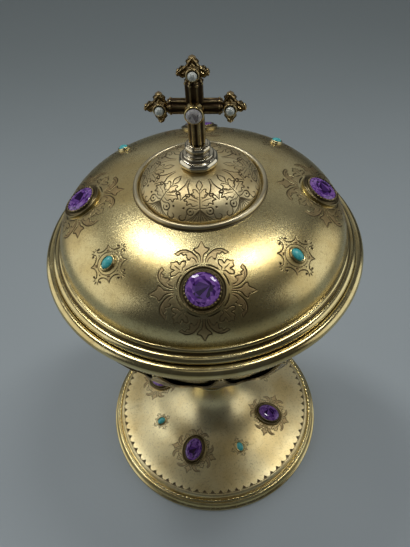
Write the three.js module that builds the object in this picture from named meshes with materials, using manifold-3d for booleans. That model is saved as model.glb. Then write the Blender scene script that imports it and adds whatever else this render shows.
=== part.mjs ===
// A ciborium in silver-gilt: a covered cup on a tall foot, set with amethysts, turquoises and pearls.
// Millimetres, +Z up. The origin is the centre of the foot's underside, and the cross faces -Y, less a few
// degrees by which the finial is turned.
// The cup screws down on its foot with one tie rod, and the lid lifts off the cup.
import * as THREE from "three";
import { ConvexGeometry } from "three/addons/geometries/ConvexGeometry.js";
import { mergeVertices } from "three/addons/utils/BufferGeometryUtils.js";
import Module from "manifold-3d";

const wasm = await Module();
wasm.setup();

// Clearances
const SEAT_GAP = 0.3; // solder or sliding gap between a piece and what carries it
const SKIN_GAP = 0.85; // between the bowl and the calyx that wraps it
const CHAMFER = 0.5; // on the edges of the base ring, the rods and the nuts

// How finely the round pieces are faceted
const LARGE_SIDES = 32;
const MEDIUM_SIDES = 24;
const SMALL_SIDES = 16;
const STONE_SIDES = 12;
const BEZEL_SIDES = 10;
const FOOT_CURVE_STEPS = 4;
const LID_CURVE_STEPS = 6;
const BOWL_CURVE_STEPS = 8;
const BOWL_SEAM_STEP = 5; // where along those steps the bowl's dish meets its wall
const BOSS_CURVE_STEPS = 4;

// Foot
const FOOT_RADIUS = 65;
const FOOT_RING_HEIGHT = 5.4;
const FOOT_RING_WIDTH = 6.5;
const FOOT_RING_LEDGE = 4.2; // width of the flat top that carries the foot's shell and border
const FOOT_EDGE_HEIGHT = 2; // upright outer edge of the base ring
const BORDER_WIDTH = 1.6;
const BORDER_HEIGHT = 0.9;
const BORDER_TEETH = 24;
const FOOT_SHELL_SEAT = 1.5; // how far the foot's shell stands in from the inside of its ring
const FOOT_DOME_RISE = 37;
const FOOT_WALL = 1.2;
const FOOT_NECK_RADIUS = 9.5;
const NECK_PLATE = 1.6; // floor inside the neck that the nut pulls against
const FOOT_TURN = -20.6; // degrees that the foot's stones stand round from the lid's

// Stem. Its height is what the foot and the bowl leave of the cup's, and its pieces share it in the
// proportions given as parts.
const CUP_HEIGHT = 157; // from the table to the bowl's mouth
const FOOT_COLLAR_PARTS = 4;
const LOWER_STEM_PARTS = 16;
const KNOP_RING_PARTS = 3;
const KNOP_PARTS = 24;
const UPPER_STEM_PARTS = 9;
const SOCKET_PARTS = 7;
const FOOT_COLLAR_RADIUS = 12;
const STEM_RADIUS = 7;
const STEM_FLARE = 2.2;
const KNOP_RING_RADIUS = 11;
const KNOP_RADIUS = 20;
const KNOP_BELT = 1.1;
const SOCKET_RADIUS = 13.5;
const ROD_RADIUS = 3;
const ROD_HEAD_RADIUS = 9;
const ROD_HEAD_HEIGHT = 2;
const NUT_HEIGHT = 4;
const NUT_RADIUS = 6;
const WASHER_RADIUS = 7;
const WASHER_HEIGHT = 1.2;
const ROD_TAIL = 2; // thread that shows below the nut

// Bowl
const BOWL_RADIUS = 57.2;
const BOWL_CURVE_HEIGHT = 43;
const BOWL_COLLAR_HEIGHT = 7.5; // upright part at the mouth
const BOWL_WALL = 1.2;
const LIP_WIRE = 0.9; // radius of the round edge of the cup's lip
const LIP_INSET = 1.3; // from the edge of the lid in to the edge of the cup's lip
const LIP_HEIGHT = 3.6;

// Calyx
const CALYX_LEAVES = 16;
const CALYX_LEAF_STEPS = 4;
const CALYX_ROWS = 6;
const CALYX_WALL = 0.8;
const CALYX_TIP = 1.02; // share of the bowl's curve that a leaf's tip reaches
const CALYX_NOTCH = 0.68; // and that the notch between two leaves reaches
const CALYX_CURL = 2.3; // how far a leaf's tip bends out from the bowl
const CALYX_SWELL = 1.4; // how far the broad leaves stand off the bowl
const CALYX_RIB = 0.5; // fold along the middle of each leaf
const CALYX_TURN = 2.6; // degrees from the foot's stones
const CALYX_BEAD = 1.1;

// Lid
const RIM_TORUS = 2.5;
const RIM_OVERHANG = 7.8; // from the outside of the bowl to the edge of the lid
const RIM_STEPS_HEIGHT = 6.75; // from the middle of the big roll to the dome's seat
const RIM_BAND = 1.6; // radius of the rounded band above the big roll
const RIM_BEAD = 0.95;
const RIM_WALL = 1.3; // thickness of the rim at its two inner edges
const DOME_LEDGE = 1; // how far the rim's seat runs on under the dome
const LID_DOME_INSET = 8; // from the edge of the lid in to the foot of the dome
const LID_DOME_RISE = 24.2;
const LID_WALL = 1;
const BEZEL_DEPTH = 8;
const BEZEL_WALL = 1;
const BEZEL_TAPER = 0.35; // eases the bezel into the bowl
const BOSS_RADIUS = 22.4;
const BOSS_RISE = 9.2;
const BOSS_WALL = 0.9;
const BOSS_WIRE = 1.3;
const LID_LIFT = 0; // 0 is shut

// Finial
const FINIAL_RADIUS = 7.6;
const FINIAL_HEIGHT = 8.8;
const FINIAL_SIDES = 8;
const STUD_RADIUS = 1.6;
const FINIAL_NUT_RADIUS = 3.6;
const FINIAL_NUT_HEIGHT = 2.4;
const STUD_TAIL = 2; // stud that shows below the nut
const SHAFT_WIDTH = 5.8; // across flats
const ARM_WIDTH = 4.9;
const CROSS_SOCKET_DEPTH = 1.6;
const CROSS_TURN = -4.5; // degrees that the cross is turned from -Y
const CROSS_RISE = 13.7; // finial top to the middle of the arms
const SIDE_ARM = 11.4; // from the middle of the cross to a side pearl
const TOP_ARM = 11.8;
const FLEURON_REACH = 5.4;
const FLEURON_THICKNESS = 3;
const FLEURON_HUB = 2.6;
const PEARL_RADIUS = 1.45;
const PEARL_CUP_WALL = 0.5;
const CROSS_STONE_RADIUS = 2.6;
const CROSS_STONE_PAVILION = 0.7;
const CROSS_STONE_CROWN = 1;
const CROSS_COLLET_HEIGHT = 2.9;
const CROSS_COLLET_DEPTH = 0.9; // of the cup in its end

// Stones
const LID_STONE_INSET = 11.4; // from the foot of the dome in to the middle of each stone
const FOOT_STONE_INSET = 24; // from the edge of the foot's shell in to the middle of each stone
const AMETHYST_RADIUS = 5.7;
const FOOT_AMETHYST_LENGTH = 6.4;
const FOOT_AMETHYST_WIDTH = 4.7;
const COLLET_WALL = 0.5;
const COLLET_FLANGE = 1.5; // from the collet's wall out to the edge of the ring round it
const COLLET_BEAD = 0.4; // height of that ring's raised edge over its moat
const COLLET_HEIGHT = 1.7;
const COLLET_FOOT = 1.9; // how far its foot goes down to meet the dome
const FOOT_COLLET_LIFT = 0.8; // keeps the foot's curve clear of the floor of the collets on it
const TURQUOISE_LENGTH = 2.5;
const TURQUOISE_WIDTH = 1.75;
const TURQUOISE_RISE = 1.5;
const BEZEL_STRIP = 0.6;
const TURQUOISE_BEZEL_HEIGHT = 1;

const gilt = new THREE.MeshStandardMaterial({ color: 0xb9a05a, metalness: 1, roughness: 0.42 });
const polishedGilt = new THREE.MeshStandardMaterial({ color: 0xc8ad66, metalness: 1, roughness: 0.2 });
const agedGilt = new THREE.MeshStandardMaterial({ color: 0x8a6a3a, metalness: 1, roughness: 0.35 });
const steel = new THREE.MeshStandardMaterial({ color: 0x8c8a84, metalness: 1, roughness: 0.4 });
const amethyst = new THREE.MeshStandardMaterial({ color: 0x6b3fa0, metalness: 0, roughness: 0.05 });
const turquoise = new THREE.MeshStandardMaterial({ color: 0x2fa8a6, metalness: 0, roughness: 0.35 });
const pearl = new THREE.MeshStandardMaterial({ color: 0xe6e9e2, metalness: 0, roughness: 0.25 });
const crystal = new THREE.MeshStandardMaterial({ color: 0xd8dcd6, metalness: 0, roughness: 0.03 });

// Geometry to solid and back

function solidOf(geometry) {
  const bare = new THREE.BufferGeometry();
  bare.setAttribute("position", geometry.getAttribute("position").clone());
  if (geometry.index) bare.setIndex(geometry.index.clone());
  const merged = mergeVertices(bare, 1e-4);
  const corners = merged.index.array;
  const kept = [];
  for (let i = 0; i < corners.length; i += 3) {
    const [a, b, c] = corners.slice(i, i + 3);
    if (a !== b && b !== c && c !== a) kept.push(a, b, c);
  }
  return new wasm.Manifold(
    new wasm.Mesh({
      numProp: 3,
      vertProperties: new Float32Array(merged.getAttribute("position").array),
      triVerts: new Uint32Array(kept),
    }),
  );
}

function geometryOf(solid) {
  const mesh = solid.getMesh();
  const geometry = new THREE.BufferGeometry();
  geometry.setAttribute("position", new THREE.BufferAttribute(mesh.vertProperties, 3));
  geometry.setIndex(new THREE.BufferAttribute(mesh.triVerts, 1));
  geometry.computeVertexNormals();
  return geometry;
}

function joined(...geometries) {
  return geometryOf(geometries.map(solidOf).reduce((whole, next) => whole.add(next)));
}

function cut(geometry, ...cutters) {
  return geometryOf(cutters.map(solidOf).reduce((left, next) => left.subtract(next), solidOf(geometry)));
}

// A solid turned on the Z axis. The profile is a list of [radius, height], anticlockwise with the
// radius to the right, and it closes on itself or starts and ends on the axis.
function turned(profile, sides) {
  const points = profile.map(([r, z]) => new THREE.Vector2(r, z));
  if (profile[0][0] > 0 || profile.at(-1)[0] > 0) points.push(points[0].clone());
  return new THREE.LatheGeometry(points, sides).rotateX(Math.PI / 2);
}

// Points of a round stretch of a profile, from one angle to another in degrees
function arc(r, z, radius, from, to, steps) {
  return Array.from({ length: steps + 1 }, (_, i) => {
    const a = THREE.MathUtils.degToRad(from + ((to - from) * i) / steps);
    return [r + radius * Math.cos(a), z + radius * Math.sin(a)];
  });
}

function bezier(from, first, second, to, steps) {
  const controls = [from, first, second, to].map(([r, z]) => new THREE.Vector2(r, z));
  const curve = new THREE.CubicBezierCurve(...controls);
  return curve.getPoints(steps).map((p) => [p.x, p.y]);
}

// The same line moved sideways by a distance, to the left of its direction
function offset(line, distance) {
  return line.map(([r, z], i) => {
    const [r0, z0] = line[Math.max(i - 1, 0)];
    const [r1, z1] = line[Math.min(i + 1, line.length - 1)];
    const length = Math.hypot(r1 - r0, z1 - z0);
    return [r - ((z1 - z0) / length) * distance, z + ((r1 - r0) / length) * distance];
  });
}

// Heights of the pieces up the stem, each standing on the one below
const footRingTop = FOOT_RING_HEIGHT;
const footDomeTop = footRingTop + FOOT_DOME_RISE;
const bowlRim = CUP_HEIGHT;
const bowlCurveTop = bowlRim - BOWL_COLLAR_HEIGHT;
const bowlBottom = bowlCurveTop - BOWL_CURVE_HEIGHT;
const stemParts =
  FOOT_COLLAR_PARTS + LOWER_STEM_PARTS + 2 * KNOP_RING_PARTS + KNOP_PARTS + UPPER_STEM_PARTS + SOCKET_PARTS;
const stemPart = (bowlBottom - footDomeTop) / stemParts;
const knopRingHeight = KNOP_RING_PARTS * stemPart;
const footCollarTop = footDomeTop + FOOT_COLLAR_PARTS * stemPart;
const lowerStemTop = footCollarTop + LOWER_STEM_PARTS * stemPart;
const lowerKnopRingTop = lowerStemTop + knopRingHeight;
const knopTop = lowerKnopRingTop + KNOP_PARTS * stemPart;
const upperKnopRingTop = knopTop + knopRingHeight;
const upperStemTop = upperKnopRingTop + UPPER_STEM_PARTS * stemPart;
const lidBottom = bowlRim + SEAT_GAP;
const rimTorusHeight = lidBottom + RIM_TORUS;
const lidDomeSeat = rimTorusHeight + RIM_STEPS_HEIGHT;
const lidDomeTop = lidDomeSeat + LID_DOME_RISE;
const boreRadius = ROD_RADIUS + SEAT_GAP;
const rimRadius = BOWL_RADIUS + RIM_OVERHANG;
const lidDomeRadius = rimRadius - LID_DOME_INSET;
const lidStoneRing = lidDomeRadius - LID_STONE_INSET;
const studHole = STUD_RADIUS + SEAT_GAP;

// The lid's dome and its boss are flattened domes: full at the shoulder and nearly level on top
const DOME_FULLNESS = 2.2;
const LID_DOME_POWER = 0.4;
const BOSS_POWER = 0.55;

function domeHeight(r, radius, rise, power) {
  return rise * (1 - Math.min(r / radius, 1) ** DOME_FULLNESS) ** power;
}

// Points down or up a dome's surface from its foot to an inner radius, closer together at the shoulder
function domeLine(radius, rise, power, base, innerRadius, steps) {
  return Array.from({ length: steps + 1 }, (_, i) => {
    const share = Math.sin((Math.PI / 2) * (1 - i / steps));
    const r = innerRadius + (radius - innerRadius) * share;
    return [r, base + domeHeight(r, radius, rise, power)];
  });
}

const lidSurface = (r) => lidDomeSeat + domeHeight(r, lidDomeRadius, LID_DOME_RISE, LID_DOME_POWER);
const bossSeat = lidSurface(BOSS_RADIUS) + SEAT_GAP;
const bossSurface = (r) => bossSeat + domeHeight(r, BOSS_RADIUS, BOSS_RISE, BOSS_POWER);

// Foot

const footDomeRadius = FOOT_RADIUS - FOOT_RING_WIDTH + FOOT_SHELL_SEAT;
const footStoneRing = footDomeRadius - FOOT_STONE_INSET;

function footLine(steps) {
  const shoulder = [footDomeRadius * 0.62, footRingTop + FOOT_DOME_RISE * 0.2];
  return [
    ...bezier(
      [footDomeRadius, footRingTop],
      [footDomeRadius * 0.93, footRingTop + FOOT_DOME_RISE * 0.13],
      [footDomeRadius * 0.78, footRingTop + FOOT_DOME_RISE * 0.15],
      shoulder,
      steps,
    ),
    ...bezier(
      shoulder,
      [footDomeRadius * 0.36, footRingTop + FOOT_DOME_RISE * 0.28],
      [FOOT_NECK_RADIUS, footDomeTop - FOOT_DOME_RISE * 0.5],
      [FOOT_NECK_RADIUS, footDomeTop],
      steps,
    ).slice(1),
  ];
}

function heightOn(line, r) {
  const i = line.findIndex(([next]) => next <= r);
  const [r0, z0] = line[Math.max(i - 1, 0)];
  const [r1, z1] = line[i];
  return z0 + ((z1 - z0) * (r0 - r)) / (r0 - r1);
}

const footSurface = (r) => heightOn(footLine(24), r);

function footBaseRing() {
  const inner = FOOT_RADIUS - FOOT_RING_WIDTH;
  const ledge = inner + FOOT_RING_LEDGE;
  return turned(
    [
      [inner, 0],
      [FOOT_RADIUS - CHAMFER, 0],
      [FOOT_RADIUS, CHAMFER],
      [FOOT_RADIUS, FOOT_EDGE_HEIGHT],
      ...arc(FOOT_RADIUS, footRingTop, FOOT_RADIUS - ledge, 240, 180, 3).slice(0, -1),
      [ledge, footRingTop],
      [inner, footRingTop],
    ],
    LARGE_SIDES,
  );
}

function footDome() {
  const steps = FOOT_CURVE_STEPS;
  const outside = footLine(steps);
  const inside = offset(outside, FOOT_WALL);
  inside[0] = [footDomeRadius - FOOT_WALL, footRingTop];
  inside[inside.length - 1] = [FOOT_NECK_RADIUS - FOOT_WALL, footDomeTop - NECK_PLATE];
  return turned(
    [...outside, [boreRadius, footDomeTop], [boreRadius, footDomeTop - NECK_PLATE], ...inside.reverse()],
    LARGE_SIDES,
  );
}

// The milled border: a low ring whose outside is cut in rounded teeth
function footBorder() {
  const inner = footDomeRadius + SEAT_GAP;
  const outer = inner + BORDER_WIDTH;
  const outline = new THREE.Shape();
  const stepsPerTooth = 3;
  const count = BORDER_TEETH * stepsPerTooth;
  for (let i = 0; i < count; i++) {
    const a = (i / count) * 2 * Math.PI;
    const r = outer - (i % stepsPerTooth === 0 ? BORDER_WIDTH * 0.3 : 0);
    outline[i ? "lineTo" : "moveTo"](r * Math.cos(a), r * Math.sin(a));
  }
  const hole = new THREE.Path().absarc(0, 0, inner, 0, 2 * Math.PI, true);
  outline.holes.push(hole);
  return new THREE.ExtrudeGeometry(outline, {
    depth: BORDER_HEIGHT,
    bevelEnabled: false,
    curveSegments: LARGE_SIDES,
  }).translate(0, 0, footRingTop);
}

// Stem

function stemCollar(bottom, top, radius, neck) {
  const half = (top - bottom) / 2;
  return turned(
    [
      [boreRadius, bottom],
      [neck, bottom],
      ...arc(radius - half, bottom + half, half, -80, 80, 3),
      [neck, top],
      [boreRadius, top],
    ],
    SMALL_SIDES,
  );
}

const footCollar = () => stemCollar(footDomeTop, footCollarTop, FOOT_COLLAR_RADIUS, FOOT_NECK_RADIUS);
const knopRing = (bottom) => stemCollar(bottom, bottom + knopRingHeight, KNOP_RING_RADIUS, STEM_RADIUS);

function spool(bottom, top) {
  const end = STEM_RADIUS + STEM_FLARE;
  const height = top - bottom;
  return turned(
    [
      [boreRadius, bottom],
      ...bezier(
        [end, bottom],
        [STEM_RADIUS - STEM_FLARE * 0.4, bottom + height * 0.3],
        [STEM_RADIUS - STEM_FLARE * 0.4, bottom + height * 0.7],
        [end, top],
        6,
      ),
      [boreRadius, top],
    ],
    SMALL_SIDES,
  );
}

function knop() {
  const middle = (lowerKnopRingTop + knopTop) / 2;
  const half = (knopTop - lowerKnopRingTop) / 2;
  const neck = STEM_RADIUS + STEM_FLARE;
  const belly = (s) => neck + (KNOP_RADIUS - neck) * Math.sqrt(1 - s ** 2);
  const side = [-1, -0.94, -0.78, -0.5, -0.2].map((s) => [belly(s), middle + s * half]);
  const beltFoot = side.at(-1)[0];
  const mirrored = side.map(([r, z]) => [r, 2 * middle - z]).reverse();
  return turned(
    [
      [boreRadius, lowerKnopRingTop],
      ...side,
      [beltFoot + KNOP_BELT, middle - 0.14 * half],
      [beltFoot + KNOP_BELT, middle + 0.14 * half],
      ...mirrored,
      [boreRadius, knopTop],
    ],
    MEDIUM_SIDES,
  );
}

const bowlOutside = (r) => bowlCurveTop - BOWL_CURVE_HEIGHT * Math.sqrt(1 - (r / BOWL_RADIUS) ** 2);

function bowlSocket() {
  const inner = ROD_HEAD_RADIUS + SEAT_GAP;
  const recess = bowlBottom - ROD_HEAD_HEIGHT - 2 * SEAT_GAP;
  const rimHeight = bowlOutside(SOCKET_RADIUS) - SEAT_GAP;
  return turned(
    [
      [boreRadius, upperStemTop],
      ...bezier(
        [STEM_RADIUS + STEM_FLARE, upperStemTop],
        [STEM_RADIUS, upperStemTop + (bowlBottom - upperStemTop) * 0.4],
        [SOCKET_RADIUS - 2, rimHeight - 3],
        [SOCKET_RADIUS, rimHeight - 1],
        4,
      ),
      [SOCKET_RADIUS, rimHeight],
      [inner, bowlOutside(inner) - SEAT_GAP],
      [inner, recess],
      [boreRadius, recess],
    ],
    SMALL_SIDES,
  );
}

function tieRod() {
  const top = bowlBottom - SEAT_GAP;
  const bottom = footDomeTop - NECK_PLATE - WASHER_HEIGHT - NUT_HEIGHT - ROD_TAIL;
  return turned(
    [
      [0, bottom],
      [ROD_RADIUS - CHAMFER, bottom],
      [ROD_RADIUS, bottom + CHAMFER],
      [ROD_RADIUS, top - ROD_HEAD_HEIGHT],
      [ROD_HEAD_RADIUS, top - ROD_HEAD_HEIGHT],
      [ROD_HEAD_RADIUS, top],
      [0, top],
    ],
    SMALL_SIDES,
  );
}

function footWasher() {
  const top = footDomeTop - NECK_PLATE;
  return turned(
    [
      [boreRadius, top - WASHER_HEIGHT],
      [WASHER_RADIUS, top - WASHER_HEIGHT],
      [WASHER_RADIUS, top],
      [boreRadius, top],
    ],
    SMALL_SIDES,
  );
}

function hexNut(top, height, radius, bore) {
  const hexagon = turned(
    [
      [0, top - height],
      [radius - CHAMFER, top - height],
      [radius, top - height + CHAMFER],
      [radius, top],
      [0, top],
    ],
    6,
  );
  const hole = new THREE.CylinderGeometry(bore, bore, height * 3, SMALL_SIDES);
  hole.rotateX(Math.PI / 2).translate(0, 0, top);
  return cut(hexagon, hole);
}

// Bowl

function bowlLine(radius, curveHeight, steps) {
  return Array.from({ length: steps + 1 }, (_, i) => {
    const a = (i / steps) * (Math.PI / 2);
    return [radius * Math.sin(a), bowlCurveTop - curveHeight * Math.cos(a)];
  });
}

// The bowl is a dish and a wall, joined at a seam that the calyx hides
function bowlSkins() {
  return {
    outside: bowlLine(BOWL_RADIUS, BOWL_CURVE_HEIGHT, BOWL_CURVE_STEPS),
    inside: bowlLine(BOWL_RADIUS - BOWL_WALL, BOWL_CURVE_HEIGHT - BOWL_WALL, BOWL_CURVE_STEPS),
  };
}

function bowlDish() {
  const { outside, inside } = bowlSkins();
  const dish = BOWL_SEAM_STEP + 1;
  return turned([...outside.slice(0, dish), ...inside.slice(0, dish).reverse()], LARGE_SIDES);
}

function bowlWall() {
  const { outside, inside } = bowlSkins();
  const profile = [
    ...outside.slice(BOWL_SEAM_STEP),
    [BOWL_RADIUS, bowlRim],
    [BOWL_RADIUS - BOWL_WALL, bowlRim],
    ...inside.slice(BOWL_SEAM_STEP).reverse(),
  ];
  return turned(profile, LARGE_SIDES);
}

// The lip is a coved ledge round the mouth, which ends in a wire
function cupLip() {
  const top = bowlRim - SEAT_GAP;
  const inner = BOWL_RADIUS + SEAT_GAP;
  const wire = rimRadius - LIP_INSET - LIP_WIRE;
  return turned(
    [
      [inner, top - LIP_HEIGHT],
      [(inner + wire) / 2, top - LIP_HEIGHT * 0.7],
      ...arc(wire, top - LIP_WIRE, LIP_WIRE, -90, 90, 3),
      [inner, top],
    ],
    LARGE_SIDES,
  );
}

// The calyx wraps the bowl from the socket upwards and ends in sixteen leaves, broad and narrow by
// turns. Each leaf's tip curls away from the bowl and ends in a bead.
function calyxPoint(angle, climb, lift) {
  const start = Math.asin((SOCKET_RADIUS + SEAT_GAP * 3) / BOWL_RADIUS);
  const a = start + (Math.PI / 2 - start) * climb;
  const normal = new THREE.Vector2(BOWL_CURVE_HEIGHT * Math.sin(a), -BOWL_RADIUS * Math.cos(a)).normalize();
  const r = BOWL_RADIUS * Math.sin(a) + normal.x * lift;
  const z = bowlCurveTop - BOWL_CURVE_HEIGHT * Math.cos(a) + normal.y * lift;
  return new THREE.Vector3(r * Math.cos(angle), r * Math.sin(angle), z);
}

function calyxSheet() {
  const columns = CALYX_LEAVES * CALYX_LEAF_STEPS;
  const positions = [];
  const corners = [];
  for (let column = 0; column < columns; column++) {
    const leaf = Math.round(column / CALYX_LEAF_STEPS);
    const across = (column / CALYX_LEAF_STEPS - leaf) * 2; // -1 and 1 at the notches, 0 on the leaf's rib
    const broad = leaf % 2 === 0 ? 1 : 0.35;
    const top = CALYX_NOTCH + (CALYX_TIP - CALYX_NOTCH) * (1 - Math.abs(across)) ** 0.8;
    const angle = (column / columns) * 2 * Math.PI;
    for (let row = 0; row <= CALYX_ROWS; row++) {
      const climb = (top * row) / CALYX_ROWS;
      const curl = CALYX_CURL * Math.max(0, (climb - CALYX_NOTCH) / (CALYX_TIP - CALYX_NOTCH)) ** 2;
      const fullness = Math.sin(Math.PI * Math.min(climb / CALYX_TIP, 1));
      const swell = CALYX_SWELL * broad * (1 - across ** 2) * fullness ** 2;
      const rib = across === 0 ? CALYX_RIB * fullness : 0;
      const inside = SKIN_GAP + curl + swell + rib;
      for (const lift of [inside, inside + CALYX_WALL]) {
        positions.push(...calyxPoint(angle, climb, lift).toArray());
      }
    }
  }
  const rows = CALYX_ROWS + 1;
  const at = (column, row, side) => ((column % columns) * rows + row) * 2 + side;
  const quad = (a, b, c, d) => corners.push(a, b, c, a, c, d);
  for (let c = 0; c < columns; c++) {
    for (let r = 0; r < CALYX_ROWS; r++) {
      quad(at(c, r, 1), at(c + 1, r, 1), at(c + 1, r + 1, 1), at(c, r + 1, 1));
      quad(at(c, r, 0), at(c, r + 1, 0), at(c + 1, r + 1, 0), at(c + 1, r, 0));
    }
    quad(at(c, 0, 0), at(c + 1, 0, 0), at(c + 1, 0, 1), at(c, 0, 1));
    quad(at(c, CALYX_ROWS, 1), at(c + 1, CALYX_ROWS, 1), at(c + 1, CALYX_ROWS, 0), at(c, CALYX_ROWS, 0));
  }
  const sheet = new THREE.BufferGeometry();
  sheet.setAttribute("position", new THREE.Float32BufferAttribute(positions, 3));
  sheet.setIndex(corners);
  return sheet;
}

function calyx() {
  const beads = Array.from({ length: CALYX_LEAVES }, (_, i) => {
    const angle = (i / CALYX_LEAVES) * 2 * Math.PI;
    const tip = calyxPoint(angle, CALYX_TIP, SKIN_GAP + CALYX_CURL + CALYX_WALL / 2 + CALYX_BEAD * 0.3);
    const bead = new THREE.SphereGeometry(CALYX_BEAD, 6, 4);
    return bead.rotateX(Math.PI / 2).rotateZ(angle).translate(tip.x, tip.y, tip.z);
  });
  return joined(calyxSheet(), ...beads).rotateZ(THREE.MathUtils.degToRad(CALYX_TURN));
}

// Lid

// The rim's moulding in one drawn ring: a big roll at the edge, a broad band and a bead above it
function lidRim() {
  const torus = rimRadius - RIM_TORUS;
  const inner = BOWL_RADIUS - BOWL_WALL - SEAT_GAP - BEZEL_WALL;
  const step = RIM_STEPS_HEIGHT;
  const seatInner = lidDomeRadius - LID_WALL - DOME_LEDGE;
  return turned(
    [
      [inner, lidBottom],
      [torus, lidBottom],
      ...arc(torus, rimTorusHeight, RIM_TORUS, -60, 120, 6),
      ...arc((torus + lidDomeRadius) / 2, rimTorusHeight + step / 2, RIM_BAND, -20, 120, 3),
      ...arc(lidDomeRadius + RIM_BEAD / 2, lidDomeSeat - RIM_BEAD, RIM_BEAD, -30, 90, 2),
      [seatInner, lidDomeSeat],
      [seatInner, lidDomeSeat - RIM_WALL],
      [inner, lidBottom + RIM_WALL],
    ],
    LARGE_SIDES,
  );
}

const lidDomeLine = () =>
  domeLine(lidDomeRadius, LID_DOME_RISE, LID_DOME_POWER, lidDomeSeat, studHole, LID_CURVE_STEPS);

function lidDome() {
  const radius = lidDomeRadius - LID_WALL;
  const rise = LID_DOME_RISE - LID_WALL;
  const inside = domeLine(radius, rise, LID_DOME_POWER, lidDomeSeat, studHole, LID_CURVE_STEPS);
  return turned([...lidDomeLine(), ...inside.reverse()], LARGE_SIDES);
}

function boss() {
  const radius = BOSS_RADIUS - BOSS_WALL;
  const rise = BOSS_RISE - BOSS_WALL;
  const outside = domeLine(BOSS_RADIUS, BOSS_RISE, BOSS_POWER, bossSeat, studHole, BOSS_CURVE_STEPS);
  const inside = domeLine(radius, rise, BOSS_POWER, bossSeat, studHole, BOSS_CURVE_STEPS);
  return turned([...outside, ...inside.reverse()], MEDIUM_SIDES);
}

function lidBezel() {
  const outer = BOWL_RADIUS - BOWL_WALL - SEAT_GAP;
  return turned(
    [
      [outer - BEZEL_WALL, lidBottom - BEZEL_DEPTH],
      [outer - BEZEL_TAPER, lidBottom - BEZEL_DEPTH],
      [outer, lidBottom - BEZEL_DEPTH + 2 * BEZEL_TAPER],
      [outer, lidBottom],
      [outer - BEZEL_WALL, lidBottom],
    ],
    LARGE_SIDES,
  );
}

function bossRing() {
  const inner = BOSS_RADIUS + SEAT_GAP;
  const middle = inner + BOSS_WIRE;
  const outer = middle + BOSS_WIRE;
  const top = lidSurface(middle) + SEAT_GAP;
  return turned(
    [
      [inner, lidSurface(inner) + SEAT_GAP],
      [outer, lidSurface(outer) + SEAT_GAP],
      ...arc(middle, top + BOSS_WIRE * 0.8, BOSS_WIRE, -10, 190, 6),
    ],
    MEDIUM_SIDES,
  );
}

// Finial

const finialBottom = bossSurface(FINIAL_RADIUS * 0.6) + SEAT_GAP;
const finialTop = finialBottom + FINIAL_HEIGHT;
const crossMiddle = finialTop + CROSS_RISE;

// An eight-sided baluster: a broad roll, a fillet and a small collar that holds the cross
function finialBase() {
  const share = (r, z) => [FINIAL_RADIUS * r, finialBottom + FINIAL_HEIGHT * z];
  const socketFloor = finialTop - CROSS_SOCKET_DEPTH;
  return turned(
    [
      [studHole, finialBottom],
      share(0.86, 0),
      share(0.98, 0.1),
      share(1, 0.2),
      share(0.93, 0.33),
      share(0.76, 0.4),
      share(0.76, 0.5),
      share(0.66, 0.56),
      share(0.52, 0.64),
      share(0.5, 0.76),
      share(0.6, 0.8),
      share(0.6, 0.95),
      share(0.55, 1),
      [SHAFT_WIDTH * 0.38, finialTop],
      [SHAFT_WIDTH * 0.38, socketFloor],
      [studHole, socketFloor],
    ],
    FINIAL_SIDES,
  ).rotateZ(Math.PI / FINIAL_SIDES);
}

function finialStud() {
  const top = finialTop - CROSS_SOCKET_DEPTH - SEAT_GAP;
  const bottom = lidDomeTop - LID_WALL - FINIAL_NUT_HEIGHT - STUD_TAIL;
  return turned(
    [
      [0, bottom],
      [STUD_RADIUS - CHAMFER, bottom],
      [STUD_RADIUS, bottom + CHAMFER],
      [STUD_RADIUS, top],
      [0, top],
    ],
    12,
  );
}

function finialNut() {
  const underside = lidDomeTop - LID_WALL - domeDrop(FINIAL_NUT_RADIUS);
  return hexNut(underside - SEAT_GAP, FINIAL_NUT_HEIGHT, FINIAL_NUT_RADIUS, studHole);
}

// How far the inside of the dome has fallen at a radius, from its middle
function domeDrop(r) {
  const rise = LID_DOME_RISE - LID_WALL;
  return rise - domeHeight(r, lidDomeRadius - LID_WALL, rise, LID_DOME_POWER);
}

function octagonBar(length, width) {
  const corner = width / 2 / Math.cos(Math.PI / 8);
  return new THREE.CylinderGeometry(corner, corner, length, 8).rotateY(Math.PI / 8);
}

// Shaft and arms in one piece, with a tenon below that stands in the finial's collar
function cross() {
  const armLength = SIDE_ARM - FLEURON_HUB - SEAT_GAP;
  const topLength = TOP_ARM - FLEURON_HUB - SEAT_GAP;
  const shaftLength = CROSS_RISE + topLength - SEAT_GAP;
  const shaft = octagonBar(shaftLength, SHAFT_WIDTH)
    .rotateX(Math.PI / 2)
    .translate(0, 0, crossMiddle + topLength - shaftLength / 2);
  const arms = octagonBar(2 * armLength, ARM_WIDTH).rotateZ(Math.PI / 2).translate(0, 0, crossMiddle);
  const tenonRadius = SHAFT_WIDTH * 0.38 - SEAT_GAP;
  const tenonHeight = CROSS_SOCKET_DEPTH + SEAT_GAP;
  const tenon = new THREE.CylinderGeometry(tenonRadius, tenonRadius, tenonHeight, 8)
    .rotateX(Math.PI / 2)
    .rotateZ(Math.PI / 8)
    .translate(0, 0, finialTop + 2 * SEAT_GAP - tenonHeight / 2);
  return joined(shaft, arms, tenon);
}

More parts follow.
